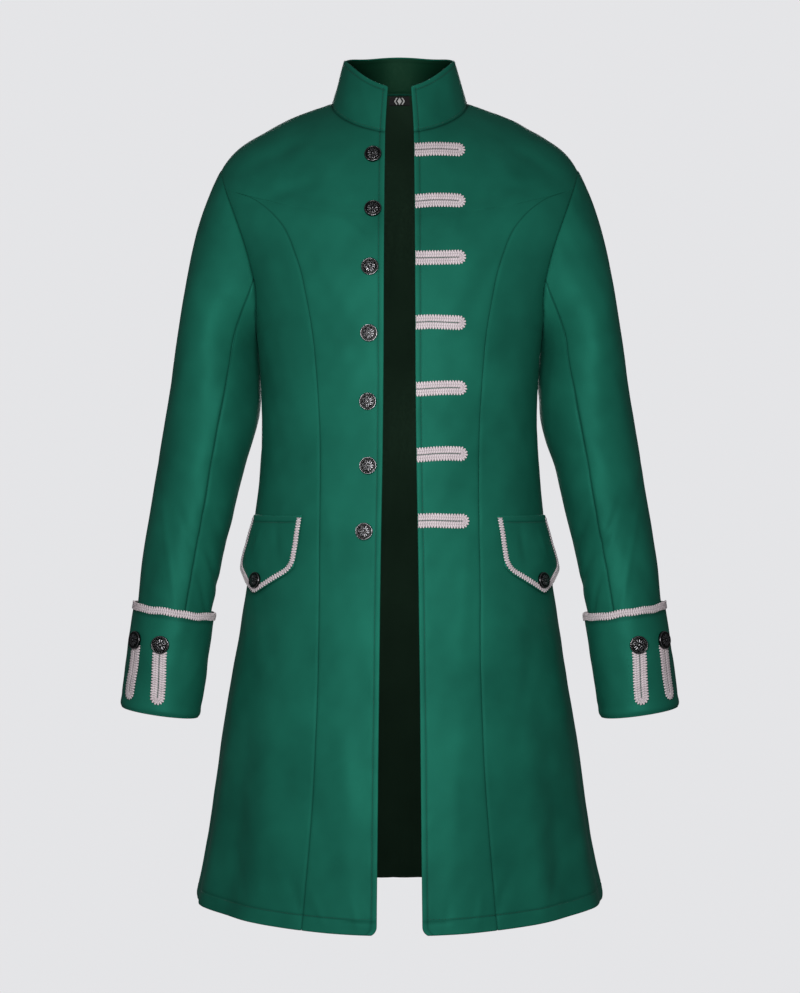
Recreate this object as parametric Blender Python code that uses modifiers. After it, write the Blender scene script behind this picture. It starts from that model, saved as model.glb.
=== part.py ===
"""Frock coat, worn open and hollow: shaped panels, two-piece sleeves, turned-back cuffs, standing collar,
pocket flaps, braid and shank buttons, each a separate solid.

Metres, +Z up. The coat faces -Y and the wearer's right arm is at -X. The origin lies between the shoulders,
level with the points where the collar meets the shoulder seams: that is where the wearer carries the coat.
"""
import math
from collections import namedtuple

import bmesh
import bpy
from mathutils import Vector

# Cloth and sewing
CLOTH = 0.002            # wall of the coat's cloth
COLLAR_WALL = 0.0025     # collar, cloth on both sides of its stiffening
CUFF_WALL = 0.0025
FLAP_WALL = 0.003
LINING_WALL = 0.001
BRAID_WALL = 0.0014
LABEL_WALL = 0.0006
SEAM_GAP = 0.0003        # between two pieces at a seam
LAYER_GAP = 0.0006       # between a piece and what is sewn on its face
LINING_GAP = 0.0022      # the lining hangs a little free of the cloth
HALF_GAP = SEAM_GAP / 2

# Angles round the body: 0 is the centre front, 90 the side, 180 the centre back
SHOULDER_SEAM = 90.0
SIDE_SEAM = 98.0
CENTRE_BACK = 180.0

# Levels up the body, measured along the line over its side: height up to the shoulder tip, then the shoulder's slope
HEM = -1.000
ARMPIT = -0.290
SHOULDER_TIP = -0.085
NECKLINE = 0.078
HEM_CORNER = 0.010       # radius of the fronts' lower corners

# The coat's form as closed rings. side_x and side_z: the ring's widest point; front_y and front_z: its centre
# front; back_y and back_z: its centre back; square: 2 is an ellipse, more is boxier; ridge: how roundly the
# ring climbs to its side, 1 is a straight tilt.
Ring = namedtuple("Ring", "level side_x side_z front_y front_z back_y back_z square ridge")
BODY_RINGS = (
    #    level   side_x  side_z   front_y front_z  back_y  back_z  square ridge
    Ring(-1.000, 0.2550, -0.9900, 0.1850, -1.0070, 0.1900, -0.996, 2.05, 2.0),
    Ring(-0.930, 0.2420, -0.9300, 0.1770, -0.9340, 0.1810, -0.930, 2.05, 2.0),
    Ring(-0.850, 0.2300, -0.8500, 0.1680, -0.8500, 0.1700, -0.850, 2.10, 2.0),
    Ring(-0.750, 0.2150, -0.7500, 0.1560, -0.7500, 0.1560, -0.750, 2.15, 2.0),
    Ring(-0.650, 0.1980, -0.6500, 0.1450, -0.6500, 0.1450, -0.650, 2.20, 2.0),
    Ring(-0.560, 0.1860, -0.5600, 0.1350, -0.5600, 0.1350, -0.560, 2.25, 2.0),
    Ring(-0.460, 0.1745, -0.4600, 0.1260, -0.4600, 0.1180, -0.460, 2.30, 2.0),
    Ring(-0.375, 0.1720, -0.3750, 0.1240, -0.3750, 0.1140, -0.375, 2.35, 2.0),
    Ring(-0.290, 0.1780, -0.2900, 0.1260, -0.2900, 0.1220, -0.290, 2.40, 2.0),
    Ring(-0.242, 0.1885, -0.2410, 0.1255, -0.2440, 0.1260, -0.242, 2.35, 2.0),
    Ring(-0.200, 0.2075, -0.1960, 0.1230, -0.2090, 0.1290, -0.202, 2.25, 2.0),
    Ring(-0.160, 0.2235, -0.1545, 0.1195, -0.1800, 0.1285, -0.165, 2.15, 1.9),
    Ring(-0.130, 0.2300, -0.1235, 0.1160, -0.1610, 0.1270, -0.142, 2.10, 1.9),
    Ring(-0.106, 0.2295, -0.1005, 0.1125, -0.1500, 0.1245, -0.126, 2.05, 1.8),
    Ring(-0.085, 0.2225, -0.0830, 0.1095, -0.1420, 0.1225, -0.112, 2.00, 1.8),
    Ring(-0.053, 0.2020, -0.0580, 0.1060, -0.1300, 0.1170, -0.090, 2.00, 1.7),
    Ring(-0.006, 0.1620, -0.0330, 0.0980, -0.1030, 0.1060, -0.055, 2.00, 1.6),
    Ring(0.032, 0.1280, -0.0154, 0.0900, -0.0780, 0.0910, -0.022, 2.00, 1.4),
    Ring(0.078, 0.0849, 0.0000, 0.0795, -0.0470, 0.0705, 0.0235, 2.00, 1.15),
)
COLLAR_RINGS = (
    #    level  side_x  side_z  front_y front_z  back_y  back_z  square ridge
    Ring(0.000, 0.0849, 0.0000, 0.0795, -0.0470, 0.0705, 0.0235, 2.00, 1.15),
    Ring(0.500, 0.0775, 0.0265, 0.0755, -0.0190, 0.0670, 0.0460, 2.00, 1.50),
    Ring(1.000, 0.0695, 0.0530, 0.0705, 0.0090, 0.0620, 0.0690, 2.00, 1.90),
)
# Body rows between the hem and the armpit, and from the shoulder tip to the neckline
SKIRT_LEVELS = (-1.000, -0.996, -0.988, -0.930, -0.860, -0.790, -0.720, -0.650, -0.585, -0.520, -0.445, -0.367)
ROOF_LEVELS = (-0.053, -0.010, 0.034, NECKLINE)
FRONT_COLUMNS = 5
SIDE_FRONT_COLUMNS = 4
BACK_COLUMNS = 6
LINING_COLUMNS = BACK_COLUMNS // 2

# Half of the coat's opening, and the princess seam, as seen from the front: height against distance from the middle
Seam = namedtuple("Seam", "z x")
FRONT_EDGE = (Seam(-1.010, 0.0270), Seam(-0.740, 0.0245), Seam(-0.565, 0.0224), Seam(-0.395, 0.0197),
              Seam(-0.045, 0.0176), Seam(0.010, 0.0150))
PRINCESS_SEAM = (Seam(-1.010, 0.1170), Seam(-0.880, 0.1055), Seam(-0.740, 0.0985), Seam(-0.600, 0.0970),
                 Seam(-0.433, 0.0964), Seam(-0.315, 0.1030), Seam(-0.234, 0.1160), Seam(-0.198, 0.1260),
                 Seam(-0.161, 0.1430), Seam(-0.130, 0.1750), Seam(-0.115, 0.2080), Seam(-0.100, 0.2400))

# Armhole: an oval on the body's surface, from the shoulder tip down to the armpit
ARMHOLE_STEPS = 8        # down each side of the oval
ARMHOLE_TOP_ANGLE = SHOULDER_SEAM
ARMHOLE_FOOT_ANGLE = SIDE_SEAM
ARMHOLE_REACH = 33.0     # degrees from the oval's middle line to its front and back
PRINCESS_STEP = 2        # the step at which the princess seam runs into the armhole
PRINCESS_STEPS = (3.5, 3, 2.5, 2.15)     # closer rows just below it

# Sleeve: rings along the arm. lean turns the oval, its back towards the body; seam is the forearm seam's angle.
SleeveRing = namedtuple("SleeveRing", "z x y half_width half_depth lean seam")
SLEEVE_RINGS = (
    #          z       x       y        width   depth   lean  seam
    SleeveRing(-0.303, 0.2270, 0.0140, 0.0474, 0.0700, 22.0, 123.0),
    SleeveRing(-0.340, 0.2284, 0.0140, 0.0526, 0.0680, 24.0, 114.0),
    SleeveRing(-0.385, 0.2336, 0.0120, 0.0560, 0.0650, 20.0, 107.0),
    SleeveRing(-0.435, 0.2446, 0.0070, 0.0543, 0.0610, 12.0, 108.0),
    SleeveRing(-0.485, 0.2548, 0.0010, 0.0518, 0.0570, 5.0, 110.5),
    SleeveRing(-0.535, 0.2643, -0.0060, 0.0503, 0.0540, 0.0, 112.0),
    SleeveRing(-0.585, 0.2731, -0.0130, 0.0486, 0.0510, 0.0, 112.5),
    SleeveRing(-0.628, 0.2790, -0.0190, 0.0460, 0.0480, 0.0, 112.5),
    SleeveRing(-0.690, 0.2875, -0.0270, 0.0462, 0.0480, 0.0, 112.5),
    SleeveRing(-0.755, 0.2960, -0.0350, 0.0455, 0.0475, 0.0, 112.5),
)
CUFF_RINGS = (
    SleeveRing(-0.631, 0.2794, -0.0194, 0.0505, 0.0530, 0.0, 112.5),
    SleeveRing(-0.660, 0.2835, -0.0230, 0.0508, 0.0530, 0.0, 112.5),
    SleeveRing(-0.710, 0.2900, -0.0295, 0.0503, 0.0525, 0.0, 112.5),
    SleeveRing(-0.757, 0.2963, -0.0353, 0.0495, 0.0515, 0.0, 112.5),
)
ARM_TILT = math.radians(8.5)     # the rings' outer sides are higher
SLEEVE_SIDES = 2 * ARMHOLE_STEPS
FOREARM_SEAM = 5                 # side of the ring, from the outside round by the front
HINDARM_SEAM = SLEEVE_SIDES - FOREARM_SEAM
EVEN_SEAM = 360.0 * FOREARM_SEAM / SLEEVE_SIDES
CAP_STEPS = (0.0, 0.14, 0.32, 0.54, 0.78)   # rows of the sleeve head, from the armhole to the first ring
CAP_START_PULL = 0.28            # how far the head runs on as it leaves the armhole, part of its length
CAP_END_PULL = 0.42              # and as it comes into the arm

# Front fastenings, top to bottom. braid_z and braid_end: on the wearer's left front; button_z and button_x: on
# the wearer's right front.
Fastening = namedtuple("Fastening", "braid_z braid_end button_z button_x")
FASTENINGS = (
    Fastening(-0.069, 0.0800, -0.076, 0.0320),
    Fastening(-0.134, 0.0800, -0.145, 0.0320),
    Fastening(-0.204, 0.0800, -0.2155, 0.0353),
    Fastening(-0.282, 0.0800, -0.295, 0.0365),
    Fastening(-0.361, 0.0810, -0.377, 0.0377),
    Fastening(-0.440, 0.0820, -0.454, 0.0377),
    Fastening(-0.520, 0.0840, -0.533, 0.0421),
)
BRAID_HEIGHT = 0.0180
BRAID_SET_BACK = 0.0005          # from the front edge
BRAID_END_ANGLES = (0.0, 30.0, 55.0, 75.0)   # corners of a braid's rounded end

# Pocket flap, across from its front edge (0) to its rear edge (1), down from its top (0) to its lower edge (1)
FLAP_TOP = -0.514
FLAP_COLUMNS = (0.0, 0.16, 0.32, 0.48, 0.65, 0.82, 1.0)
FLAP_ROWS = (0.0, 0.3, 0.65, 1.0)
FLAP_POINT = 0.48                # where its lower edge comes to a point
FLAP_FRONT_ANGLES = (37.0, 40.5)     # at the top and at the lower edge
FLAP_REAR_ANGLES = (76.0, 84.0)
FLAP_CORNER_DEPTH = 0.065
FLAP_POINT_DEPTH = 0.096
FLAP_STAND = 0.011               # how far the lower rear corner stands off the skirt
FLAP_LIFT = 0.0014
FLAP_BRAID_WIDTH = 0.0070
FLAP_BRAID_EDGE = 0.0008         # of flap showing outside the braid
FLAP_BRAID_TOP = 0.06            # part of the side left bare above the braid
FLAP_BRAID_LIFT = 0.0013
FLAP_WIDTH = 0.106
FLAP_BUTTON_DOWN = 0.84

# Cuff trim. Angles round the arm: 0 is the outside, 90 the front. Heights: 0 is the cuff's top edge, 1 its foot.
CUFF_BRAID_WIDTH = 0.009
CUFF_BRAID_RISE = 0.002          # above the cuff's edge
CUFF_HEIGHT = 0.126
CuffTab = namedtuple("CuffTab", "top_angle foot_angle")
CUFF_TABS = (CuffTab(83.5, 90.0), CuffTab(42.5, 44.0))
CUFF_TAB_TOP = 0.37
CUFF_TAB_FOOT = 0.89
CUFF_TAB_WIDTH = 0.0170
CUFF_BUTTON_DOWN = 0.33

BUTTON_RADIUS = 0.0105
CUFF_BUTTON_RADIUS = 0.0112
FLAP_BUTTON_RADIUS = 0.0100
BUTTON_SIDES = 10

LABEL_WIDTH = 0.031
LABEL_LEVELS = (0.0660, 0.0765)

SIDES = (("left", 1.0), ("right", -1.0))     # the wearer's, with the sign of X
COLLECTION = "frock_coat"


# ---------------------------------------------------------------- materials and collections

def material(name, colour, roughness, metallic=0.0):
    made = bpy.data.materials.new(name)
    made.use_nodes = True
    shader = made.node_tree.nodes["Principled BSDF"]
    shader.inputs["Base Color"].default_value = (*colour, 1.0)
    shader.inputs["Roughness"].default_value = roughness
    shader.inputs["Metallic"].default_value = metallic
    made.diffuse_color = (*colour, 1.0)
    return made


def add_object(name, mesh, finish):
    made = bpy.data.objects.new(name, mesh)
    bpy.data.collections[COLLECTION].objects.link(made)
    made.data.materials.append(finish)
    return made


# ---------------------------------------------------------------- curves through tables

def smooth_value(places, values, at):
    """A smooth curve through (place, value) pairs, with the slope at each pair taken from its neighbours."""
    last = len(places) - 1
    at = min(max(at, places[0]), places[-1])
    low = max(i for i in range(last) if places[i] <= at)
    high = low + 1

    def slope(i):
        before, after = max(i - 1, 0), min(i + 1, last)
        return (values[after] - values[before]) / (places[after] - places[before])

    span = places[high] - places[low]
    t = (at - places[low]) / span
    return ((2 * t**3 - 3 * t**2 + 1) * values[low] + (t**3 - 2 * t**2 + t) * span * slope(low)
            + (3 * t**2 - 2 * t**3) * values[high] + (t**3 - t**2) * span * slope(high))


def ring_at(table, level):
    """The ring at a level of a table of rings, between its rows. The first column is the level."""
    rows = sorted(table)
    places = [row[0] for row in rows]
    return type(rows[0])(*(smooth_value(places, column, level) for column in zip(*rows)))


def seam_x(seam, z):
    return smooth_value([row.z for row in seam], [row.x for row in seam], z)


# ---------------------------------------------------------------- the coat's form

def ring_point(ring, angle):
    """A point of a body or collar ring, at +X; angle in degrees from the centre front."""
    across = math.sin(math.radians(angle))
    forward = math.cos(math.radians(angle))
    power = 2.0 / ring.square
    reach = abs(forward) ** power
    depth, end_z = (ring.front_y, ring.front_z) if forward >= 0 else (ring.back_y, ring.back_z)
    return Vector((math.copysign(abs(across) ** power, across) * ring.side_x,
                   -math.copysign(reach, forward) * depth,
                   ring.side_z + (end_z - ring.side_z) * reach ** ring.ridge))


def body_point(angle, level):
    return ring_point(ring_at(BODY_RINGS, level), angle)


def body_normal(angle, level):
    """The direction straight out of the cloth."""
    turn, rise = 2.0, 0.004
    top = min(level + rise, NECKLINE)
    around = body_point(angle + turn, level) - body_point(angle - turn, level)
    up = body_point(angle, top) - body_point(angle, top - 2 * rise)
    return around.cross(up).normalized()


def body_cloth(angle, level, height):
    """A point height above the body's outer face, or below it where height is negative."""
    return body_point(angle, level) + body_normal(angle, level) * height


def body_turn(angle, level, distance):
    """How many degrees of turn cover a distance along a body ring."""
    step = 0.5
    length = (body_point(angle + step, level) - body_point(angle - step, level)).length
    return distance * 2 * step / length


def angle_on_seam(seam, level):
    """Where a body ring crosses a seam that is drawn as seen from the front."""
    ring = ring_at(BODY_RINGS, level)
    low, high = 1.0, 89.0
    for _ in range(40):
        middle = (low + high) / 2
        point = ring_point(ring, middle)
        if point.x < seam_x(seam, point.z):
            low = middle
        else:
            high = middle
    return (low + high) / 2


def angle_at_x(level, x):
    """Where a body ring's front half is at a distance x from the middle."""
    ring = ring_at(BODY_RINGS, level)
    return math.degrees(math.asin((x / ring.side_x) ** (ring.square / 2)))


def front_spot(x, z):
    """The angle and level of the point that lies on the front at a distance x from the middle, at height z."""
    low, high = HEM, NECKLINE
    for _ in range(30):
        middle = (low + high) / 2
        if body_point(angle_at_x(middle, x), middle).z < z:
            low = middle
        else:
            high = middle
    return angle_at_x(high, x), high


def armhole_level(step):
    """The level of a step down the armhole; 0 is its top and ARMHOLE_STEPS its foot."""
    middle = (SHOULDER_TIP + ARMPIT) / 2
    return middle + (SHOULDER_TIP - middle) * math.cos(math.pi * step / ARMHOLE_STEPS)


def armhole_angle(step, way):
    """The angle of the armhole's front (way -1) or back (way 1) edge."""
    turn = math.pi * step / ARMHOLE_STEPS
    share = (1 - math.cos(turn)) / 2
    middle = ARMHOLE_TOP_ANGLE + (ARMHOLE_FOOT_ANGLE - ARMHOLE_TOP_ANGLE) * share
    return middle + way * ARMHOLE_REACH * math.sin(turn)


# ---------------------------------------------------------------- making solids

def mirrored(rows, side):
    return [[Vector((point.x * side, point.y, point.z)) for point in row] for row in rows]


def wall(name, outer, inner, finish, closed=False):
    """A sheet of cloth, lofted between the rows of points of its outer and its inner face, edges closed."""
    rows, columns = len(outer), len(outer[0])
    mesh = bpy.data.meshes.new(name)
    shape = bmesh.new()
    faces = [[[shape.verts.new(point) for point in row] for row in grid] for grid in (outer, inner)]
    last = columns if closed else columns - 1
    for grid in faces:
        for r in range(rows - 1):
            for c in range(last):
                after = (c + 1) % columns
                shape.faces.new((grid[r][c], grid[r][after], grid[r + 1][after], grid[r + 1][c]))
    for r in (0, rows - 1):
        for c in range(last):
            after = (c + 1) % columns
            shape.faces.new((faces[0][r][c], faces[0][r][after], faces[1][r][after], faces[1][r][c]))
    if not closed:
        for c in (0, columns - 1):
            for r in range(rows - 1):
                shape.faces.new((faces[0][r][c], faces[0][r + 1][c], faces[1][r + 1][c], faces[1][r][c]))
    bmesh.ops.recalc_face_normals(shape, faces=shape.faces)
    shape.to_mesh(mesh)
    shape.free()
    return add_object(name, mesh, finish)


def spread(start, end, count):
    """count + 1 evenly spaced values."""
    return [start + (end - start) * i / count for i in range(count + 1)]


def body_panel(name, side, rows, columns, finish):
    """A panel of the coat. Each row is (level, angle of its front edge, angle of its rear edge)."""
    outer, inner = [], []
    for level, front, rear in rows:
        front += body_turn(front, level, HALF_GAP)
        rear -= body_turn(rear, level, HALF_GAP)
        angles = spread(front, rear, columns)
        outer.append([body_point(angle, level) for angle in angles])
        inner.append([body_cloth(angle, level, -CLOTH) for angle in angles])
    return wall(name, mirrored(outer, side), mirrored(inner, side), finish)


# ---------------------------------------------------------------- body pieces

def front_edge_angle(level):
    """The front edge, rounded off at the hem."""
    x = seam_x(FRONT_EDGE, ring_at(BODY_RINGS, level).front_z)
    above_hem = level - HEM
    if above_hem < HEM_CORNER:
        x += HEM_CORNER - math.sqrt(HEM_CORNER**2 - (HEM_CORNER - above_hem) ** 2)
    return angle_at_x(level, x)


def armhole_rows():
    """Steps up the armhole from its foot, with closer ones where the princess seam runs into it."""
    return list(range(ARMHOLE_STEPS, PRINCESS_STEP + 1, -1)) + list(PRINCESS_STEPS)


def front_panel(side_name, side, finish):
    rows = [(level, front_edge_angle(level), angle_on_seam(PRINCESS_SEAM, level)) for level in SKIRT_LEVELS]
    for step in armhole_rows() + list(range(PRINCESS_STEP, -1, -1)):
        level = armhole_level(step)
        on_seam = step > PRINCESS_STEP
        rear = angle_on_seam(PRINCESS_SEAM, level) if on_seam else armhole_angle(step, -1)
        rows.append((level, front_edge_angle(level), rear))
    rows += [(level, front_edge_angle(level), SHOULDER_SEAM) for level in ROOF_LEVELS]
    body_panel(f"front_{side_name}", side, rows, FRONT_COLUMNS, finish)


def side_front_panel(side_name, side, finish):
    rows = [(level, angle_on_seam(PRINCESS_SEAM, level), SIDE_SEAM) for level in SKIRT_LEVELS]
    for step in armhole_rows():
        level = armhole_level(step)
        rows.append((level, angle_on_seam(PRINCESS_SEAM, level), armhole_angle(step, -1)))
    body_panel(f"side_front_{side_name}", side, rows, SIDE_FRONT_COLUMNS, finish)


def back_rows():
    """Rows of a back panel, each (level, angle of its side, angle of its middle)."""
    rows = [(level, SIDE_SEAM, CENTRE_BACK) for level in SKIRT_LEVELS if level != SKIRT_LEVELS[1]]
    for step in range(ARMHOLE_STEPS, -1, -1):
        rows.append((armhole_level(step), armhole_angle(step, 1), CENTRE_BACK))
    return rows + [(level, SHOULDER_SEAM, CENTRE_BACK) for level in ROOF_LEVELS]


def back_panel(side_name, side, finish):
    body_panel(f"back_{side_name}", side, back_rows(), BACK_COLUMNS, finish)


def collar(finish):
    edge = angle_at_x(NECKLINE, seam_x(FRONT_EDGE, FRONT_EDGE[-2].z))
    half = spread(edge, SHOULDER_SEAM, FRONT_COLUMNS) + spread(SHOULDER_SEAM, CENTRE_BACK, BACK_COLUMNS)[1:]
    angles = half + [360.0 - angle for angle in reversed(half[:-1])]
    outer, inner = [], []
    for level in (0.0, 0.5, 1.0):
        ring = ring_at(COLLAR_RINGS, level)
        raised = Vector((0.0, 0.0, SEAM_GAP if level == 0.0 else 0.0))
        points = [ring_point(ring, angle) + raised for angle in angles]
        outer.append(points)
        inner.append([point - inward(points, i) * COLLAR_WALL for i, point in enumerate(points)])
    wall("collar", outer, inner, finish)


def inward(points, i):
    """Level direction out of a row of points that runs round the neck."""
    before, after = points[max(i - 1, 0)], points[min(i + 1, len(points) - 1)]
    along = after - before
    return Vector((along.y, -along.x, 0.0)).normalized()


def lining_point(angle, level, height):
    """A point on the lining's outer face, which lies inside the coat's cloth."""
    return body_cloth(angle, level, height - CLOTH - LINING_GAP)


def lining_back(finish):
    """The lining seen through the open front, from side seam to side seam, under every other column of the back."""
    outer, inner = [], []
    for level, edge, middle in back_rows():
        angles = spread(edge + body_turn(edge, level, HALF_GAP), middle, LINING_COLUMNS)
        angles += [2 * CENTRE_BACK - angle for angle in reversed(angles[:-1])]
        outer.append([lining_point(angle, level, 0.0) for angle in angles])
        inner.append([lining_point(angle, level, -LINING_WALL) for angle in angles])
    wall("lining_back", outer, inner, finish)


def label(finish):
    """Two flat halves that meet on the lining's middle column."""
    beside = CENTRE_BACK - (CENTRE_BACK - SHOULDER_SEAM) / LINING_COLUMNS
    outer, inner = [], []
    for level in LABEL_LEVELS:
        for rows, depth in ((outer, LINING_WALL + LAYER_GAP), (inner, LINING_WALL + LAYER_GAP + LABEL_WALL)):
            middle = lining_point(CENTRE_BACK, level, -depth)
            towards = lining_point(beside, level, -depth) - middle
            edge = middle + towards.normalized() * (LABEL_WIDTH / 2)
            rows.append([edge, middle, Vector((-edge.x, edge.y, edge.z))])
    wall("label", outer, inner, finish)


# ---------------------------------------------------------------- sleeves and cuffs

def arm_point(ring, angle, height=0.0):
    """A point of a sleeve ring at +X. Angles in degrees: 0 is the outside, 90 the front, 180 the body's side."""
    turn = math.radians(angle + ring.lean)
    lean = math.radians(ring.lean)
    wide = (ring.half_width + height) * math.cos(turn)
    deep = (ring.half_depth + height) * math.sin(turn)
    across = wide * math.cos(lean) + deep * math.sin(lean)
    forward = deep * math.cos(lean) - wide * math.sin(lean)
    return Vector((ring.x + across * math.cos(ARM_TILT), ring.y - forward, ring.z + across * math.sin(ARM_TILT)))


def side_angle(ring, number):
    """The angle of one of a sleeve ring's sides, turned so that the forearm seam lies where the ring has it."""
    return 360.0 * number / SLEEVE_SIDES + ring.seam - EVEN_SEAM


def armhole_point(number):
    """The armhole's edge at a side number of the sleeve, with the body's direction out of the cloth there."""
    way = -1 if number <= ARMHOLE_STEPS else 1
    step = number if number <= ARMHOLE_STEPS else SLEEVE_SIDES - number
    angle, level = armhole_angle(step, way), armhole_level(step)
    return body_point(angle, level), body_normal(angle, level)


def sleeve_grid():
    """Rows of points of the whole sleeve, from the armhole to the wrist."""
    first = SLEEVE_RINGS[0]
    step_off = Vector((SEAM_GAP + HALF_GAP, 0.0, 0.0))
    rows = []
    for t in CAP_STEPS:
        row = []
        for number in range(SLEEVE_SIDES):
            turn = 2 * math.pi * number / SLEEVE_SIDES
            start = armhole_point(number)[0] + step_off
            end = arm_point(first, side_angle(first, number))
            length = (end - start).length
            leave = Vector((0.33 + 0.17 * math.cos(turn), -0.25 * math.sin(turn), -0.87)).normalized()
            arrive = Vector((math.sin(ARM_TILT), 0.0, -math.cos(ARM_TILT)))
            second = start + leave * length * CAP_START_PULL
            third = end - arrive * length * CAP_END_PULL
            row.append(start * (1 - t) ** 3 + second * 3 * t * (1 - t) ** 2
                       + third * 3 * t**2 * (1 - t) + end * t**3)
        rows.append(row)
    for ring in SLEEVE_RINGS:
        rows.append([arm_point(ring, side_angle(ring, number)) for number in range(SLEEVE_SIDES)])
    return rows


def sleeve_normals(rows):
    """Directions out of the sleeve; at the armhole they are shared with the body where the two run on smoothly."""
    normals = []
    for r, row in enumerate(rows):
        above, below = rows[max(r - 1, 0)], rows[min(r + 1, len(rows) - 1)]
        found = []
        for c in range(SLEEVE_SIDES):
            around = row[(c + 1) % SLEEVE_SIDES] - row[c - 1]
            found.append(around.cross(below[c] - above[c]).normalized())
        normals.append(found)
    for c in range(SLEEVE_SIDES):
        body = armhole_point(c)[1]
        agreement = max(normals[0][c].dot(body), 0.0)
        shared = (normals[0][c] + body * agreement).normalized()
        normals[0][c] = shared
    return normals


def sleeve_piece(name, side, first, last, finish):
    """The part of the sleeve between two of its sides, which may run past the first side again."""
    rows = sleeve_grid()
    normals = sleeve_normals(rows)
    outer, inner = [], []
    for row, out in zip(rows, normals):
        numbers = [number % SLEEVE_SIDES for number in range(first, last + 1)]
        points = [row[number].copy() for number in numbers]
        points[0] += (points[1] - points[0]).normalized() * HALF_GAP
        points[-1] += (points[-2] - points[-1]).normalized() * HALF_GAP
        outer.append(points)
        inner.append([point - out[number] * CLOTH for point, number in zip(points, numbers)])
    wall(name, mirrored(outer, side), mirrored(inner, side), finish)


def cuff_point(angle, down, height=0.0):
    """A point on the cuff's outer face, moved out by height."""
    top, foot = CUFF_RINGS[0].z, CUFF_RINGS[-1].z
    return arm_point(ring_at(CUFF_RINGS, top + (foot - top) * down), angle, height)


def cuff(name, side, finish):
    angles = [360.0 * number / SLEEVE_SIDES for number in range(SLEEVE_SIDES)]
    downs = spread(0.0, 1.0, 3)
    outer = [[cuff_point(angle, down) for angle in angles] for down in downs]
    inner = [[cuff_point(angle, down, -CUFF_WALL) for angle in angles] for down in downs]
    wall(name, mirrored(outer, side), mirrored(inner, side), finish, closed=True)


def cuff_edge_braid(name, side, finish):
    """Braid round the cuff's top edge, standing a little above it."""
    angles = [360.0 * number / SLEEVE_SIDES for number in range(SLEEVE_SIDES)]
    outer, inner = [], []
    for down, rise in ((0.0, CUFF_BRAID_RISE), ((CUFF_BRAID_WIDTH - CUFF_BRAID_RISE) / CUFF_HEIGHT, 0.0)):
        raised = Vector((0.0, 0.0, rise))
        outer.append([cuff_point(angle, down, LAYER_GAP + BRAID_WALL) + raised for angle in angles])
        inner.append([cuff_point(angle, down, LAYER_GAP) + raised for angle in angles])
    wall(name, mirrored(outer, side), mirrored(inner, side), finish, closed=True)


def rounded_strip(place, length, width, name, side, finish, wall_height=BRAID_WALL):
    """A flat strip with one round end. place(along, across, height) gives its points on what carries it."""
    half = width / 2
    straight = length - half
    stations = [(straight * i / 4, half) for i in range(4)]
    for degrees in BRAID_END_ANGLES:
        turn = math.radians(degrees)
        stations.append((straight + half * math.sin(turn), half * math.cos(turn)))
    rows = [[[place(along, across * reach, height) for across in (-1.0, 0.0, 1.0)] for along, reach in stations]
            for height in (LAYER_GAP + wall_height, LAYER_GAP)]
    wall(name, mirrored(rows[0], side), mirrored(rows[1], side), finish)


def cuff_tab(name, side, tab, finish):
    height = (CUFF_TAB_FOOT - CUFF_TAB_TOP) * CUFF_HEIGHT

    def place(along, across, lift):
        down = CUFF_TAB_TOP + along / CUFF_HEIGHT
        centre = tab.top_angle + (tab.foot_angle - tab.top_angle) * along / height
        speed = (cuff_point(centre + 1, down) - cuff_point(centre - 1, down)).length / 2
        return cuff_point(centre + across / speed, down, lift)

    rounded_strip(place, height, CUFF_TAB_WIDTH, name, side, finish)


# ---------------------------------------------------------------- front braids, flaps

def front_braid(name, row, finish):
    start = seam_x(FRONT_EDGE, row.braid_z) + BRAID_SET_BACK

    def place(along, across, lift):
        angle, level = front_spot(start + along, row.braid_z + across)
        return body_cloth(angle, level, lift)

    rounded_strip(place, row.braid_end - start, BRAID_HEIGHT, name, 1.0, finish)


def flap_depth(across):
    """From the flap's top down to its pointed lower edge."""
    away = (FLAP_POINT - across) / FLAP_POINT if across < FLAP_POINT else (across - FLAP_POINT) / (1 - FLAP_POINT)
    return FLAP_POINT_DEPTH + (FLAP_CORNER_DEPTH - FLAP_POINT_DEPTH) * away


def flap_point(across, down, height):
    depth = flap_depth(across) * down
    share = depth / FLAP_POINT_DEPTH
    front = FLAP_FRONT_ANGLES[0] + (FLAP_FRONT_ANGLES[1] - FLAP_FRONT_ANGLES[0]) * share
    rear = FLAP_REAR_ANGLES[0] + (FLAP_REAR_ANGLES[1] - FLAP_REAR_ANGLES[0]) * share
    angle = front + (rear - front) * across
    stand = FLAP_LIFT + FLAP_STAND * across**1.5 * share
    return body_cloth(angle, FLAP_TOP - depth, stand + height)


def flap_normal(across, down):
    step = 0.05
    sideways = flap_point(across + step, down, 0.0) - flap_point(across - step, down, 0.0)
    up = flap_point(across, down - step, 0.0) - flap_point(across, down + step, 0.0)
    return sideways.cross(up).normalized()


def flap(name, side, finish):
    outer = [[flap_point(across, down, FLAP_WALL) for across in FLAP_COLUMNS] for down in FLAP_ROWS]
    inner = [[flap_point(across, down, 0.0) for across in FLAP_COLUMNS] for down in FLAP_ROWS]
    wall(name, mirrored(outer, side), mirrored(inner, side), finish)


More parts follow.
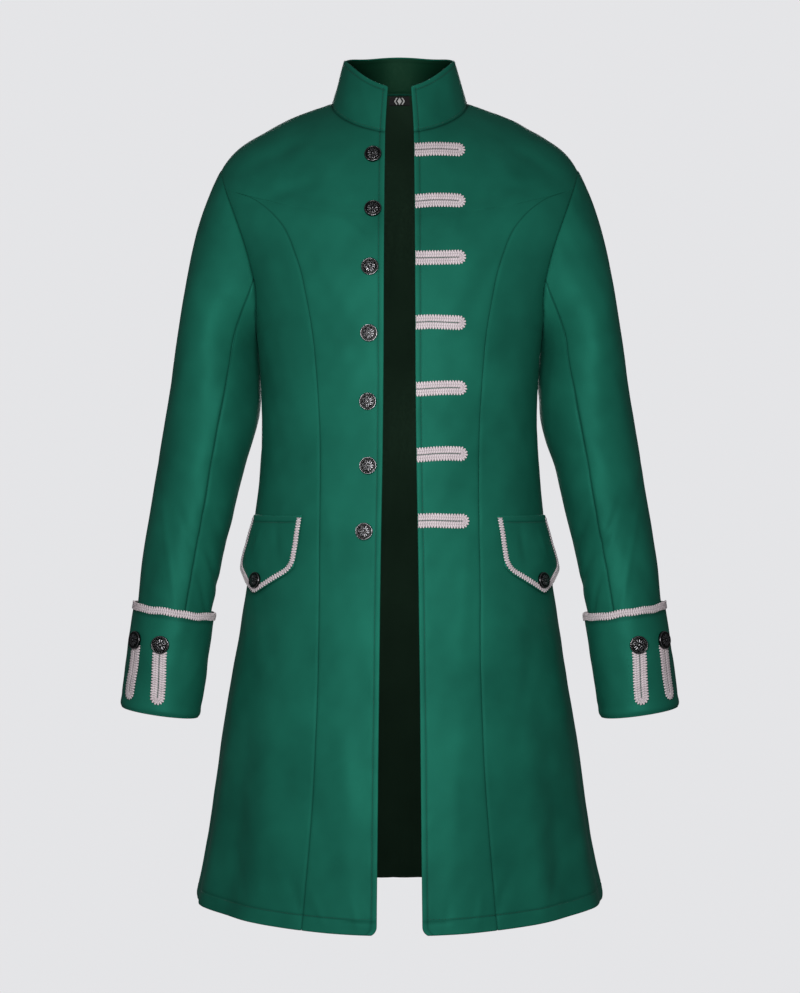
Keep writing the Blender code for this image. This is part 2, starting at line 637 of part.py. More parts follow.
def flap_braid(name, side, finish):
    """Braid down the flap's front side, along its pointed edge and up its rear side."""
    def path(margin):
        edge = margin / FLAP_WIDTH
        low = margin * 1.15
        corner = 1 - low / FLAP_CORNER_DEPTH
        point = 1 - low / FLAP_POINT_DEPTH
        middle = 1 - low * 2 / (FLAP_CORNER_DEPTH + FLAP_POINT_DEPTH)
        front = [(edge, FLAP_BRAID_TOP), (edge, corner / 2), (edge, corner), (FLAP_POINT / 2, middle)]
        rear = [((1 + FLAP_POINT) / 2, middle), (1 - edge, corner), (1 - edge, corner / 2),
                (1 - edge, FLAP_BRAID_TOP)]
        return front + [(FLAP_POINT, point)] + rear

    edges = [path(FLAP_BRAID_EDGE), path(FLAP_BRAID_EDGE + FLAP_BRAID_WIDTH)]
    base = FLAP_WALL + FLAP_BRAID_LIFT
    outer = [[flap_point(across, down, base + BRAID_WALL) for across, down in edge] for edge in edges]
    inner = [[flap_point(across, down, base) for across, down in edge] for edge in edges]
    wall(name, mirrored(outer, side), mirrored(inner, side), finish)


# ---------------------------------------------------------------- buttons

def button_mesh(name, radius):
    """A domed shank button, turned from its profile; its foot is at the origin and its face towards +Z."""
    profile = ((0.0, 0.46), (0.62, 0.39), (1.0, 0.20), (0.90, 0.08), (0.34, 0.04), (0.34, 0.0), (0.0, 0.0))
    mesh = bpy.data.meshes.new(name)
    points = [(out * radius, 0.0, up * radius) for out, up in profile]
    mesh.from_pydata(points, [(i, i + 1) for i in range(len(points) - 1)], [])
    return mesh


def button(name, radius, foot, out, finish):
    """A button standing on a point of a piece's face, along the direction out of it."""
    made = add_object(name, button_mesh(name, radius), finish)
    made.location = foot
    made.rotation_mode = "QUATERNION"
    made.rotation_quaternion = out.to_track_quat("Z", "Y")
    turned = made.modifiers.new("Turn", "SCREW")
    turned.axis = "Z"
    turned.steps = BUTTON_SIDES
    turned.render_steps = BUTTON_SIDES
    turned.use_merge_vertices = True
    turned.merge_threshold = 0.00001
    return made


def flipped(vector, side):
    return Vector((vector.x * side, vector.y, vector.z))


def front_button(name, row, finish):
    angle, level = front_spot(row.button_x, row.button_z)
    foot = body_cloth(angle, level, LAYER_GAP)
    button(name, BUTTON_RADIUS, flipped(foot, -1.0), flipped(body_normal(angle, level), -1.0), finish)


def cuff_button(name, side, tab, finish):
    centre = tab.top_angle
    lift = LAYER_GAP + BRAID_WALL + LAYER_GAP
    foot = cuff_point(centre, CUFF_BUTTON_DOWN, lift)
    out = (cuff_point(centre, CUFF_BUTTON_DOWN, 0.01) - cuff_point(centre, CUFF_BUTTON_DOWN, 0.0)).normalized()
    button(name, CUFF_BUTTON_RADIUS, flipped(foot, side), flipped(out, side), finish)


def flap_button(name, side, finish):
    lift = FLAP_WALL + FLAP_BRAID_LIFT + BRAID_WALL + LAYER_GAP
    foot = flap_point(FLAP_POINT, FLAP_BUTTON_DOWN, lift)
    out = flap_normal(FLAP_POINT, FLAP_BUTTON_DOWN)
    button(name, FLAP_BUTTON_RADIUS, flipped(foot, side), flipped(out, side), finish)


# ---------------------------------------------------------------- the coat

def clear_scene():
    for old in list(bpy.data.objects):
        bpy.data.objects.remove(old)
    bpy.context.scene.collection.children.link(bpy.data.collections.new(COLLECTION))


def main():
    clear_scene()
    cloth = material("green_cloth", (0.009, 0.110, 0.075), 0.45)
    lining = material("dark_lining", (0.006, 0.014, 0.010), 0.60)
    braid = material("silver_braid", (0.56, 0.49, 0.51), 0.70)
    metal = material("black_button", (0.020, 0.020, 0.022), 0.35, 0.6)
    ribbon = material("black_label", (0.008, 0.008, 0.009), 0.70)

    collar(cloth)
    lining_back(lining)
    label(ribbon)
    for side_name, side in SIDES:
        front_panel(side_name, side, cloth)
        side_front_panel(side_name, side, cloth)
        back_panel(side_name, side, cloth)
        sleeve_piece(f"sleeve_top_{side_name}", side, HINDARM_SEAM, SLEEVE_SIDES + FOREARM_SEAM, cloth)
        sleeve_piece(f"sleeve_under_{side_name}", side, FOREARM_SEAM, HINDARM_SEAM, cloth)
        cuff(f"cuff_{side_name}", side, cloth)
        cuff_edge_braid(f"cuff_edge_braid_{side_name}", side, braid)
        for number, tab in enumerate(CUFF_TABS, 1):
            cuff_tab(f"cuff_tab_{side_name}_{number}", side, tab, braid)
            cuff_button(f"cuff_button_{side_name}_{number}", side, tab, metal)
        flap(f"flap_{side_name}", side, cloth)
        flap_braid(f"flap_braid_{side_name}", side, braid)
        flap_button(f"flap_button_{side_name}", side, metal)
    for number, row in enumerate(FASTENINGS, 1):
        front_braid(f"front_braid_{number}", row, braid)
        front_button(f"front_button_{number}", row, metal)


main()
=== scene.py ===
"""Frock coat in deep green twill: shaped panels, two-piece sleeves with turned-back cuffs, standing collar,
pointed pocket flaps, gimp braid and shank buttons, worn open and hollow.

Metres, +Z up. The coat faces -Y and the wearer's right arm is at -X. Each operator makes one kind of piece on
the form that the coat's ring tables give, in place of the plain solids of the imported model.
"""

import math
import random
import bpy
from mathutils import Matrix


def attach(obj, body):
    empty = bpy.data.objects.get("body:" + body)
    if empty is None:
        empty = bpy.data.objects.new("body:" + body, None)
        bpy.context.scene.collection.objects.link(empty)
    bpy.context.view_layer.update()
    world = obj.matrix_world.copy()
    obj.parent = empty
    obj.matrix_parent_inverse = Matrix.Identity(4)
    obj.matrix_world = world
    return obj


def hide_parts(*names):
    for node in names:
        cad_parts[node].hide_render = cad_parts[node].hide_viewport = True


bl_info = {
    "name": "Frock Coat",
    "version": (1, 0, 0),
    "blender": (4, 5, 0),
    "location": "View3D > Sidebar > Frock Coat",
    "description": "Makes a green frock coat with braid, buttons and stitching, piece by piece",
    "category": "Add Mesh",
}

from collections import namedtuple

import bpy
import numpy as np
from bpy.props import FloatProperty, FloatVectorProperty, PointerProperty
from mathutils import Vector

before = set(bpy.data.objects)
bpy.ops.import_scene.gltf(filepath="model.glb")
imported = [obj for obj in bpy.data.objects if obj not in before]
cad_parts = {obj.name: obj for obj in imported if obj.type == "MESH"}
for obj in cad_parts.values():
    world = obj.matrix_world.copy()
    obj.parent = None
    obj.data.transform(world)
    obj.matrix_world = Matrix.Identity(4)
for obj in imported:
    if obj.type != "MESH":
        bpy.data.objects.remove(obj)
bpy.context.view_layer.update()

def rows_of(kind, *rows):
    """A table whose rows have named columns."""
    return tuple(kind(*row) for row in rows)


# ---- sizes

CLOTH = 0.002            # walls
COLLAR_WALL = 0.0025
CUFF_WALL = 0.0025
FLAP_WALL = 0.003
LINING_WALL = 0.001
LABEL_WALL = 0.0006
LINING_GAP = 0.0022      # the lining hangs a little free of the cloth
SEAM_TUCK = 0.0001       # folded edges press into each other at a seam

# Angles round the body: 0 is the centre front, 90 the side, 180 the centre back
SHOULDER_SEAM = 90.0
SIDE_SEAM = 98.0
CENTRE_BACK = 180.0

# Levels up the body, measured along the line over its side
HEM = -1.000
ARMPIT = -0.290
SHOULDER_TIP = -0.085
NECKLINE = 0.078
HEM_CORNER = 0.010

# The coat's form as closed rings. side_x and side_z: the ring's widest point; front_y and front_z: its centre
# front; back_y and back_z: its centre back; square: 2 is an ellipse, more is boxier; ridge: how roundly the
# ring climbs to its side, 1 is a straight tilt.
Ring = namedtuple("Ring", "level side_x side_z front_y front_z back_y back_z square ridge")
BODY_RINGS = rows_of(Ring,
    #    level   side_x  side_z   front_y front_z  back_y  back_z  square ridge
    (-1.000, 0.2550, -0.9900, 0.1850, -1.0070, 0.1900, -0.996, 2.05, 2.0),
    (-0.930, 0.2420, -0.9300, 0.1770, -0.9340, 0.1810, -0.930, 2.05, 2.0),
    (-0.850, 0.2300, -0.8500, 0.1680, -0.8500, 0.1700, -0.850, 2.10, 2.0),
    (-0.750, 0.2150, -0.7500, 0.1560, -0.7500, 0.1560, -0.750, 2.15, 2.0),
    (-0.650, 0.1980, -0.6500, 0.1450, -0.6500, 0.1450, -0.650, 2.20, 2.0),
    (-0.560, 0.1860, -0.5600, 0.1350, -0.5600, 0.1350, -0.560, 2.25, 2.0),
    (-0.460, 0.1745, -0.4600, 0.1260, -0.4600, 0.1180, -0.460, 2.30, 2.0),
    (-0.375, 0.1720, -0.3750, 0.1240, -0.3750, 0.1140, -0.375, 2.35, 2.0),
    (-0.290, 0.1780, -0.2900, 0.1260, -0.2900, 0.1220, -0.290, 2.40, 2.0),
    (-0.242, 0.1885, -0.2410, 0.1255, -0.2440, 0.1260, -0.242, 2.35, 2.0),
    (-0.200, 0.2075, -0.1960, 0.1230, -0.2090, 0.1290, -0.202, 2.25, 2.0),
    (-0.160, 0.2235, -0.1545, 0.1195, -0.1800, 0.1285, -0.165, 2.15, 1.9),
    (-0.130, 0.2300, -0.1235, 0.1160, -0.1610, 0.1270, -0.142, 2.10, 1.9),
    (-0.106, 0.2295, -0.1005, 0.1125, -0.1500, 0.1245, -0.126, 2.05, 1.8),
    (-0.085, 0.2225, -0.0830, 0.1095, -0.1420, 0.1225, -0.112, 2.00, 1.8),
    (-0.053, 0.2020, -0.0580, 0.1060, -0.1300, 0.1170, -0.090, 2.00, 1.7),
    (-0.006, 0.1620, -0.0330, 0.0980, -0.1030, 0.1060, -0.055, 2.00, 1.6),
    (0.032, 0.1280, -0.0154, 0.0900, -0.0780, 0.0910, -0.022, 2.00, 1.4),
    (0.078, 0.0849, 0.0000, 0.0795, -0.0470, 0.0705, 0.0235, 2.00, 1.15),
)
COLLAR_RINGS = rows_of(Ring,
    #    level  side_x  side_z  front_y front_z  back_y  back_z  square ridge
    (0.000, 0.0849, 0.0000, 0.0795, -0.0470, 0.0705, 0.0235, 2.00, 1.15),
    (0.500, 0.0775, 0.0265, 0.0755, -0.0190, 0.0670, 0.0460, 2.00, 1.50),
    (1.000, 0.0695, 0.0530, 0.0705, 0.0090, 0.0620, 0.0690, 2.00, 1.90),
)

# Half of the coat's opening, and the princess seam, from the front: height against distance from the middle
Seam = namedtuple("Seam", "z x")
FRONT_EDGE = (Seam(-1.010, 0.0270), Seam(-0.740, 0.0245), Seam(-0.565, 0.0224), Seam(-0.395, 0.0197),
              Seam(-0.045, 0.0176), Seam(0.010, 0.0150))
PRINCESS_SEAM = (Seam(-1.010, 0.1170), Seam(-0.880, 0.1055), Seam(-0.740, 0.0985), Seam(-0.600, 0.0970),
                 Seam(-0.433, 0.0964), Seam(-0.315, 0.1030), Seam(-0.234, 0.1160), Seam(-0.198, 0.1260),
                 Seam(-0.161, 0.1430), Seam(-0.130, 0.1750), Seam(-0.115, 0.2080), Seam(-0.100, 0.2400))

# Armhole: an oval on the body's surface, from the shoulder tip down to the armpit
ARMHOLE_STEPS = 8
ARMHOLE_REACH = 33.0     # degrees from the oval's middle line to its front and back

# Sleeve: rings along the arm. lean turns the oval, its back to the body; seam is the forearm seam's angle.
SleeveRing = namedtuple("SleeveRing", "z x y half_width half_depth lean seam")
SLEEVE_RINGS = rows_of(SleeveRing,
    #          z       x       y        width   depth   lean  seam
    (-0.303, 0.2270, 0.0140, 0.0474, 0.0700, 22.0, 123.0),
    (-0.340, 0.2284, 0.0140, 0.0526, 0.0680, 24.0, 114.0),
    (-0.385, 0.2336, 0.0120, 0.0560, 0.0650, 20.0, 107.0),
    (-0.435, 0.2446, 0.0070, 0.0543, 0.0610, 12.0, 108.0),
    (-0.485, 0.2548, 0.0010, 0.0518, 0.0570, 5.0, 110.5),
    (-0.535, 0.2643, -0.0060, 0.0503, 0.0540, 0.0, 112.0),
    (-0.585, 0.2731, -0.0130, 0.0486, 0.0510, 0.0, 112.5),
    (-0.628, 0.2790, -0.0190, 0.0460, 0.0480, 0.0, 112.5),
    (-0.690, 0.2875, -0.0270, 0.0462, 0.0480, 0.0, 112.5),
    (-0.755, 0.2960, -0.0350, 0.0455, 0.0475, 0.0, 112.5),
)
CUFF_RINGS = rows_of(SleeveRing,
    (-0.631, 0.2794, -0.0194, 0.0505, 0.0530, 0.0, 112.5),
    (-0.660, 0.2835, -0.0230, 0.0508, 0.0530, 0.0, 112.5),
    (-0.710, 0.2900, -0.0295, 0.0503, 0.0525, 0.0, 112.5),
    (-0.757, 0.2963, -0.0353, 0.0495, 0.0515, 0.0, 112.5),
)
ARM_TILT = math.radians(8.5)     # the rings' outer sides are higher
SLEEVE_SIDES = 2 * ARMHOLE_STEPS
FOREARM_SEAM = 5                 # side of the ring, from the outside round by the front
HINDARM_SEAM = SLEEVE_SIDES - FOREARM_SEAM
EVEN_SEAM = 360.0 * FOREARM_SEAM / SLEEVE_SIDES
CAP_START_PULL = 0.28            # how far the head runs on as it leaves the armhole, part of its length
CAP_END_PULL = 0.42              # and as it comes into the arm
CAP_ROWS = 40

# Front fastenings, top to bottom. braid_z and braid_end: on the wearer's left front; button_z and button_x:
# on the wearer's right front; turn: how the button was sewn on.
Fastening = namedtuple("Fastening", "braid_z braid_end button_z button_x turn")
FASTENINGS = rows_of(Fastening,
    (-0.069, 0.0800, -0.076, 0.0320, 12.0),
    (-0.134, 0.0800, -0.145, 0.0320, 75.0),
    (-0.204, 0.0800, -0.2155, 0.0353, 31.0),
    (-0.282, 0.0800, -0.295, 0.0365, 4.0),
    (-0.361, 0.0810, -0.377, 0.0377, 58.0),
    (-0.440, 0.0820, -0.454, 0.0377, 20.0),
    (-0.520, 0.0840, -0.533, 0.0421, 83.0),
)
BRAID_HEIGHT = 0.0180
BRAID_SET_BACK = 0.0005          # from the front edge

# Pocket flap, across from its front edge (0) to its rear (1), down from its top (0) to its lower edge (1)
FLAP_TOP = -0.514
FLAP_POINT = 0.48                # where its lower edge comes to a point
FLAP_FRONT_ANGLES = (37.0, 40.5)     # at the top and at the lower edge
FLAP_REAR_ANGLES = (76.0, 84.0)
FLAP_CORNER_DEPTH = 0.065
FLAP_POINT_DEPTH = 0.096
FLAP_STAND = 0.011               # how far the lower rear corner stands off the skirt
FLAP_LIFT = 0.0014
FLAP_BRAID_WIDTH = 0.0070
FLAP_BRAID_RADII = (0.013, 0.004, 0.013)     # where the braid turns: front corner, point, rear corner
FLAP_BRAID_TOP = 0.05            # part of the side left bare above the braid
FLAP_WIDTH = 0.106
FLAP_BUTTON_DOWN = 0.84
FLAP_BAND = 0.008                # stitched band along its top

# Cuff trim. Angles round the arm: 0 outside, 90 in front. Heights: 0 is the cuff's top edge, 1 its foot.
CUFF_BRAID_WIDTH = 0.0085
CUFF_BRAID_RISE = 0.002          # above the cuff's edge
CUFF_HEIGHT = 0.126
CUFF_ROUND = 0.325               # once round it, for the length of its braid
CUFF_DEGREE = 0.00088            # one degree round it
CuffTab = namedtuple("CuffTab", "top_angle foot_angle turn")
CUFF_TABS = (CuffTab(83.5, 90.0, 10.0), CuffTab(42.5, 44.0, 55.0))
CUFF_TAB_TOP = 0.37
CUFF_TAB_FOOT = 0.89
CUFF_TAB_WIDTH = 0.0170
CUFF_BUTTON_DOWN = 0.33

BUTTON_RADIUS = 0.0105
CUFF_BUTTON_RADIUS = 0.0112
FLAP_BUTTON_RADIUS = 0.0100
BUTTON_PETALS = 6
BUTTON_BEADS = 26
BUTTON_RELIEF = 0.085            # height of the cast work, part of the radius

LABEL_WIDTH = 0.031
LABEL_LEVELS = (0.0660, 0.0765)
LABEL_CURVE = 1.32               # how it bends round the neck

SIDES = (("left", 1.0), ("right", -1.0))     # the wearer's, with the sign of X

# ---- folds and creases

# Soft upright waves of the skirt: angle and half width in degrees, height at the hem, and where it dies away.
Flute = namedtuple("Flute", "left_angle right_angle half_width height top")
FLUTES = rows_of(Flute,
    (17.0, 15.0, 7.0, 0.0016, -0.72),
    (41.0, 43.0, 7.5, 0.0036, -0.58),
    (53.0, 56.0, 6.0, -0.0034, -0.66),
    (67.0, 69.5, 7.0, 0.0036, -0.60),
    (80.0, 82.0, 6.0, -0.0028, -0.70),
    (104.0, 101.0, 8.0, 0.0030, -0.55),
    (118.0, 121.0, 8.0, -0.0045, -0.62),
    (134.0, 137.0, 9.0, 0.0055, -0.50),
    (151.0, 150.0, 7.0, -0.0040, -0.64),
    (166.0, 168.0, 7.0, 0.0040, -0.58),
)

# Creases of the body, seen from the front or the back: the crease's middle (distance from the coat's middle,
# and height), heading in degrees from level with outward up as positive, length, half width, height (a trough
# is negative), and bow, how far its ends turn up or down, where they do.
Crease = namedtuple("Crease", "side x z heading length half_width height bow", defaults=(0.0,))
BOTH, LEFT, RIGHT = 0, 1, -1
FRONT_CREASES = rows_of(Crease,
    # from the collar towards the shoulder tip, and across the upper chest
    (RIGHT, 0.165, -0.078, -28.0, 0.110, 0.0110, -0.0016, 0.10),
    (LEFT, 0.160, -0.075, -32.0, 0.100, 0.0100, -0.0014, -0.05),
    (RIGHT, 0.118, -0.072, -52.0, 0.085, 0.0120, 0.0012, 0.08),
    (LEFT, 0.125, -0.088, -48.0, 0.075, 0.0110, 0.0012),
    (RIGHT, 0.145, -0.122, -20.0, 0.090, 0.0090, -0.0013, 0.12),
    (LEFT, 0.150, -0.118, -14.0, 0.085, 0.0095, -0.0013, 0.10),
    (RIGHT, 0.075, -0.115, 62.0, 0.070, 0.0100, -0.0009),
    (LEFT, 0.098, -0.120, 70.0, 0.060, 0.0080, -0.0008),
    (RIGHT, 0.060, -0.165, 40.0, 0.060, 0.0090, 0.0008),
    # below the braids and buttons, where the cloth pulls
    (LEFT, 0.040, -0.093, 78.0, 0.022, 0.0035, -0.0006),
    (LEFT, 0.052, -0.098, 82.0, 0.028, 0.0045, -0.0007),
    (LEFT, 0.046, -0.158, 70.0, 0.024, 0.0040, -0.0006),
    (LEFT, 0.068, -0.160, 60.0, 0.026, 0.0045, 0.0005),
    (LEFT, 0.058, -0.548, 8.0, 0.048, 0.0060, -0.0010),
    (LEFT, 0.062, -0.470, 12.0, 0.040, 0.0060, -0.0006),
    (RIGHT, 0.046, -0.166, 66.0, 0.026, 0.0045, -0.0006),
    (RIGHT, 0.040, -0.398, 14.0, 0.026, 0.0040, -0.0006),
    (RIGHT, 0.041, -0.552, 20.0, 0.028, 0.0045, -0.0006),
    # chest beside the princess seam, waist and hip
    (RIGHT, 0.108, -0.205, 68.0, 0.100, 0.0120, -0.0012),
    (LEFT, 0.112, -0.215, 64.0, 0.110, 0.0120, -0.0013),
    (RIGHT, 0.072, -0.250, 60.0, 0.130, 0.0160, 0.0012),
    (LEFT, 0.076, -0.245, 66.0, 0.110, 0.0150, 0.0012),
    (RIGHT, 0.134, -0.400, 8.0, 0.060, 0.0070, -0.0009),
    (RIGHT, 0.140, -0.428, -6.0, 0.070, 0.0070, -0.0008),
    (LEFT, 0.136, -0.412, 10.0, 0.062, 0.0070, -0.0009),
    (LEFT, 0.130, -0.446, 2.0, 0.052, 0.0060, -0.0007),
    (RIGHT, 0.083, -0.560, 84.0, 0.120, 0.0110, 0.0009),
    (LEFT, 0.080, -0.600, 86.0, 0.130, 0.0110, 0.0009),
    # skirt: long soft slants out of the flaps and up from the hem
    (RIGHT, 0.150, -0.700, 82.0, 0.150, 0.0110, -0.0014),
    (LEFT, 0.152, -0.720, 80.0, 0.170, 0.0110, -0.0014),
    (RIGHT, 0.062, -0.820, 88.0, 0.190, 0.0150, 0.0012),
    (LEFT, 0.066, -0.860, 86.0, 0.170, 0.0140, 0.0012),
    (RIGHT, 0.125, -0.960, 74.0, 0.060, 0.0070, -0.0014),
    (LEFT, 0.126, -0.955, 70.0, 0.056, 0.0070, -0.0013),
    (RIGHT, 0.098, -0.975, 64.0, 0.042, 0.0060, 0.0009),
    (LEFT, 0.095, -0.978, 80.0, 0.036, 0.0060, 0.0009),
    (RIGHT, 0.190, -0.955, 80.0, 0.070, 0.0080, -0.0014),
    (LEFT, 0.186, -0.960, 76.0, 0.064, 0.0080, -0.0014),
    (RIGHT, 0.052, -0.985, 78.0, 0.034, 0.0050, 0.0006),
    (LEFT, 0.056, -0.984, 84.0, 0.034, 0.0055, -0.0006),
)
BACK_CREASES = rows_of(Crease,
    (BOTH, 0.105, -0.085, -32.0, 0.110, 0.0120, -0.0014, 0.1),
    (LEFT, 0.125, -0.190, 66.0, 0.130, 0.0130, -0.0018),
    (RIGHT, 0.130, -0.205, 60.0, 0.140, 0.0130, -0.0018),
    (BOTH, 0.150, -0.260, 34.0, 0.070, 0.0100, 0.0012),
    (LEFT, 0.075, -0.395, 6.0, 0.110, 0.0090, -0.0014, 0.1),
    (RIGHT, 0.082, -0.410, 4.0, 0.095, 0.0090, -0.0014, 0.1),
    (BOTH, 0.060, -0.440, -8.0, 0.080, 0.0080, -0.0011),
    (LEFT, 0.110, -0.700, 84.0, 0.220, 0.0130, 0.0018),
    (RIGHT, 0.095, -0.730, 86.0, 0.240, 0.0130, 0.0018),
    (BOTH, 0.165, -0.860, 80.0, 0.160, 0.0120, -0.0018),
)

# Creases of the sleeve: middle (side number round the arm, and distance down from the armhole, part of the
# sleeve), heading from round-the-arm, length, half width, height
SleeveCrease = namedtuple("SleeveCrease", "side around down heading length half_width height bow",
                          defaults=(0.0,))
SLEEVE_CREASES = rows_of(SleeveCrease,
    (BOTH, 1.2, 0.075, 62.0, 0.070, 0.0100, -0.0014),
    (BOTH, 3.6, 0.100, 50.0, 0.070, 0.0100, 0.0014),
    (RIGHT, 4.6, 0.220, 66.0, 0.090, 0.0100, -0.0018),
    (LEFT, 4.4, 0.240, 60.0, 0.095, 0.0100, -0.0018),
    (BOTH, 6.0, 0.330, 40.0, 0.070, 0.0090, -0.0020, 0.2),
    (RIGHT, 2.2, 0.330, 78.0, 0.120, 0.0130, 0.0012),
    (LEFT, 2.4, 0.360, 82.0, 0.120, 0.0130, 0.0012),
    (BOTH, 6.3, 0.430, 20.0, 0.075, 0.0090, -0.0022, 0.2),
    (BOTH, 6.6, 0.490, 6.0, 0.085, 0.0085, -0.0024, 0.1),
    (RIGHT, 4.9, 0.520, -16.0, 0.060, 0.0080, -0.0013, 0.1),
    (LEFT, 4.8, 0.500, -12.0, 0.064, 0.0080, -0.0013, 0.1),
    (BOTH, 6.4, 0.560, -14.0, 0.075, 0.0085, -0.0020),
    (RIGHT, 3.2, 0.600, -52.0, 0.070, 0.0090, 0.0011),
    (LEFT, 3.5, 0.610, -44.0, 0.066, 0.0090, 0.0011),
    (BOTH, 1.0, 0.560, 8.0, 0.050, 0.0080, -0.0010),
    (RIGHT, 2.0, 0.715, 74.0, 0.090, 0.0090, -0.0012),
    (LEFT, 2.3, 0.705, 66.0, 0.090, 0.0090, -0.0012),
    (BOTH, 4.3, 0.745, 76.0, 0.070, 0.0070, 0.0010),
    (BOTH, 12.0, 0.180, 60.0, 0.110, 0.0120, -0.0020),
    (BOTH, 12.5, 0.420, 24.0, 0.090, 0.0110, 0.0014),
    (BOTH, 10.0, 0.520, -30.0, 0.080, 0.0090, -0.0018),
)
# Creases of the cuff: angle round the arm, height (0 top, 1 foot), heading, length, half width, height
CUFF_CREASES = rows_of(SleeveCrease,
    (RIGHT, 118.0, 0.36, 84.0, 0.060, 0.0060, -0.0010),
    (LEFT, 120.0, 0.40, 78.0, 0.060, 0.0060, -0.0010),
    (BOTH, 136.0, 0.60, 62.0, 0.050, 0.0070, 0.0009),
    (RIGHT, 104.0, 0.20, 40.0, 0.032, 0.0050, 0.0008),
    (LEFT, 100.0, 0.22, 30.0, 0.032, 0.0050, 0.0008),
    (BOTH, 62.0, 0.62, 86.0, 0.060, 0.0055, 0.0007),
    (BOTH, 20.0, 0.50, 80.0, 0.070, 0.0080, -0.0010),
    (BOTH, 210.0, 0.50, 80.0, 0.080, 0.0090, -0.0012),
    (BOTH, 290.0, 0.45, 84.0, 0.080, 0.0090, 0.0010),
)


# ---- curves through tables

def smooth_value(places, values, at):
    """A smooth curve through (place, value) pairs, with the slope at each pair taken from its neighbours."""
    places, values = np.asarray(places, float), np.asarray(values, float)
    last = len(places) - 1
    before = np.maximum(np.arange(last + 1) - 1, 0)
    after = np.minimum(np.arange(last + 1) + 1, last)
    slopes = (values[after] - values[before]) / (places[after] - places[before])
    at = np.clip(at, places[0], places[-1])
    low = np.clip(np.searchsorted(places, at, side="right") - 1, 0, last - 1)
    span = places[low + 1] - places[low]
    t = (at - places[low]) / span
    return ((2 * t**3 - 3 * t**2 + 1) * values[low] + (t**3 - 2 * t**2 + t) * span * slopes[low]
            + (3 * t**2 - 2 * t**3) * values[low + 1] + (t**3 - t**2) * span * slopes[low + 1])


def ring_at(table, level):
    """The ring at a level, or at an array of levels, of a table of rings."""
    rows = sorted(table)
    places = [row[0] for row in rows]
    return type(rows[0])(*(smooth_value(places, column, level) for column in zip(*rows)))


def seam_x(seam, z):
    return smooth_value([row.z for row in seam], [row.x for row in seam], z)


def unit(vectors):
    return vectors / np.maximum(np.linalg.norm(vectors, axis=-1, keepdims=True), 1e-9)


def running(points, axis=0):
    """The distance covered along a path, or along an axis of a grid, of points: 0 at its start."""
    steps = np.linalg.norm(np.diff(points, axis=axis), axis=-1)
    return np.insert(np.cumsum(steps, axis=axis), 0, 0.0, axis=axis)


def bump(distance, half_width):
    """A soft hill of height 1 that has died away at twice its half width."""
    return np.exp(-(distance / half_width) ** 2 * 1.4)


def ease(low, high, value):
    t = np.clip((value - low) / (high - low), 0.0, 1.0)
    return t * t * (3 - 2 * t)


def turned_in(height, reach):
    """From 0 to 1, how far an edge has rolled inwards at a height above it."""
    return np.clip(1 - height / reach, 0.0, 1.0) ** 2


def ripple(points, wavelength, seed, directions=9):
    """An even, unordered waviness through space, from -1 to 1 or so: a sum of waves in many directions."""
    source = random.Random(seed)
    total = np.zeros(points.shape[:-1])
    for _ in range(directions):
        way = unit(np.array([source.gauss(0, 1) for _ in range(3)]))
        pitch = 2 * math.pi / (wavelength * source.uniform(0.7, 1.6))
        total += np.sin(points @ way * pitch + source.uniform(0, 2 * math.pi))
    return total / math.sqrt(directions)


def halving(low, high, short, rounds=30):
    """The two sides of the place where short() stops being true, found by halving the span between them."""
    for _ in range(rounds):
        middle = (low + high) / 2
        before = short(middle)
        low, high = np.where(before, middle, low), np.where(before, high, middle)
    return low, high


def stack(x, y, z):
    return np.stack(np.broadcast_arrays(x, y, z), axis=-1)


# ---- the coat's form

def ring_point(ring, angle):
    across = np.sin(np.radians(angle))
    forward = np.cos(np.radians(angle))
    power = 2.0 / ring.square
    reach = np.abs(forward) ** power
    front = forward >= 0
    depth = np.where(front, ring.front_y, ring.back_y)
    end_z = np.where(front, ring.front_z, ring.back_z)
    return stack(np.sign(across) * np.abs(across) ** power * ring.side_x,
                 -np.sign(forward) * reach * depth,
                 ring.side_z + (end_z - ring.side_z) * reach ** ring.ridge)


def body_point(angle, level):
    return ring_point(ring_at(BODY_RINGS, level), angle)


def body_normal(angle, level):
    turn, rise = 2.0, 0.004
    top = np.minimum(np.asarray(level) + rise, NECKLINE)
    around = body_point(angle + turn, level) - body_point(angle - turn, level)
    up = body_point(angle, top) - body_point(angle, top - 2 * rise)
    return unit(np.cross(around, up))


def body_turn(angle, level, distance):
    """How many degrees of turn cover a distance along a body ring."""
    step = 0.5
    length = np.linalg.norm(body_point(angle + step, level) - body_point(angle - step, level), axis=-1)
    return distance * 2 * step / length


def angle_on_seam(seam, level):
    """Where a body ring crosses a seam that is drawn as seen from the front."""
    ring = ring_at(BODY_RINGS, level)

    def short(angle):
        point = ring_point(ring, angle)
        return point[..., 0] < seam_x(seam, point[..., 2])

    low, high = halving(np.full(np.shape(level), 1.0), np.full(np.shape(level), 89.0), short, 40)
    return (low + high) / 2


def angle_at_x(level, x):
    """Where a body ring's front half is at a distance x from the middle."""
    ring = ring_at(BODY_RINGS, level)
    return np.degrees(np.arcsin(np.clip((x / ring.side_x) ** (ring.square / 2), 0.0, 1.0)))


def front_spot(x, z):
    """The angle and level of the point on the front at a distance x from the middle, at height z."""
    x, z = np.broadcast_arrays(np.asarray(x, float), np.asarray(z, float))
    _, level = halving(np.full(x.shape, HEM), np.full(x.shape, NECKLINE),
                       lambda height: body_point(angle_at_x(height, x), height)[..., 2] < z)
    return angle_at_x(level, x), level


def armhole_level(step):
    middle = (SHOULDER_TIP + ARMPIT) / 2
    return middle + (SHOULDER_TIP - middle) * np.cos(np.pi * np.asarray(step) / ARMHOLE_STEPS)


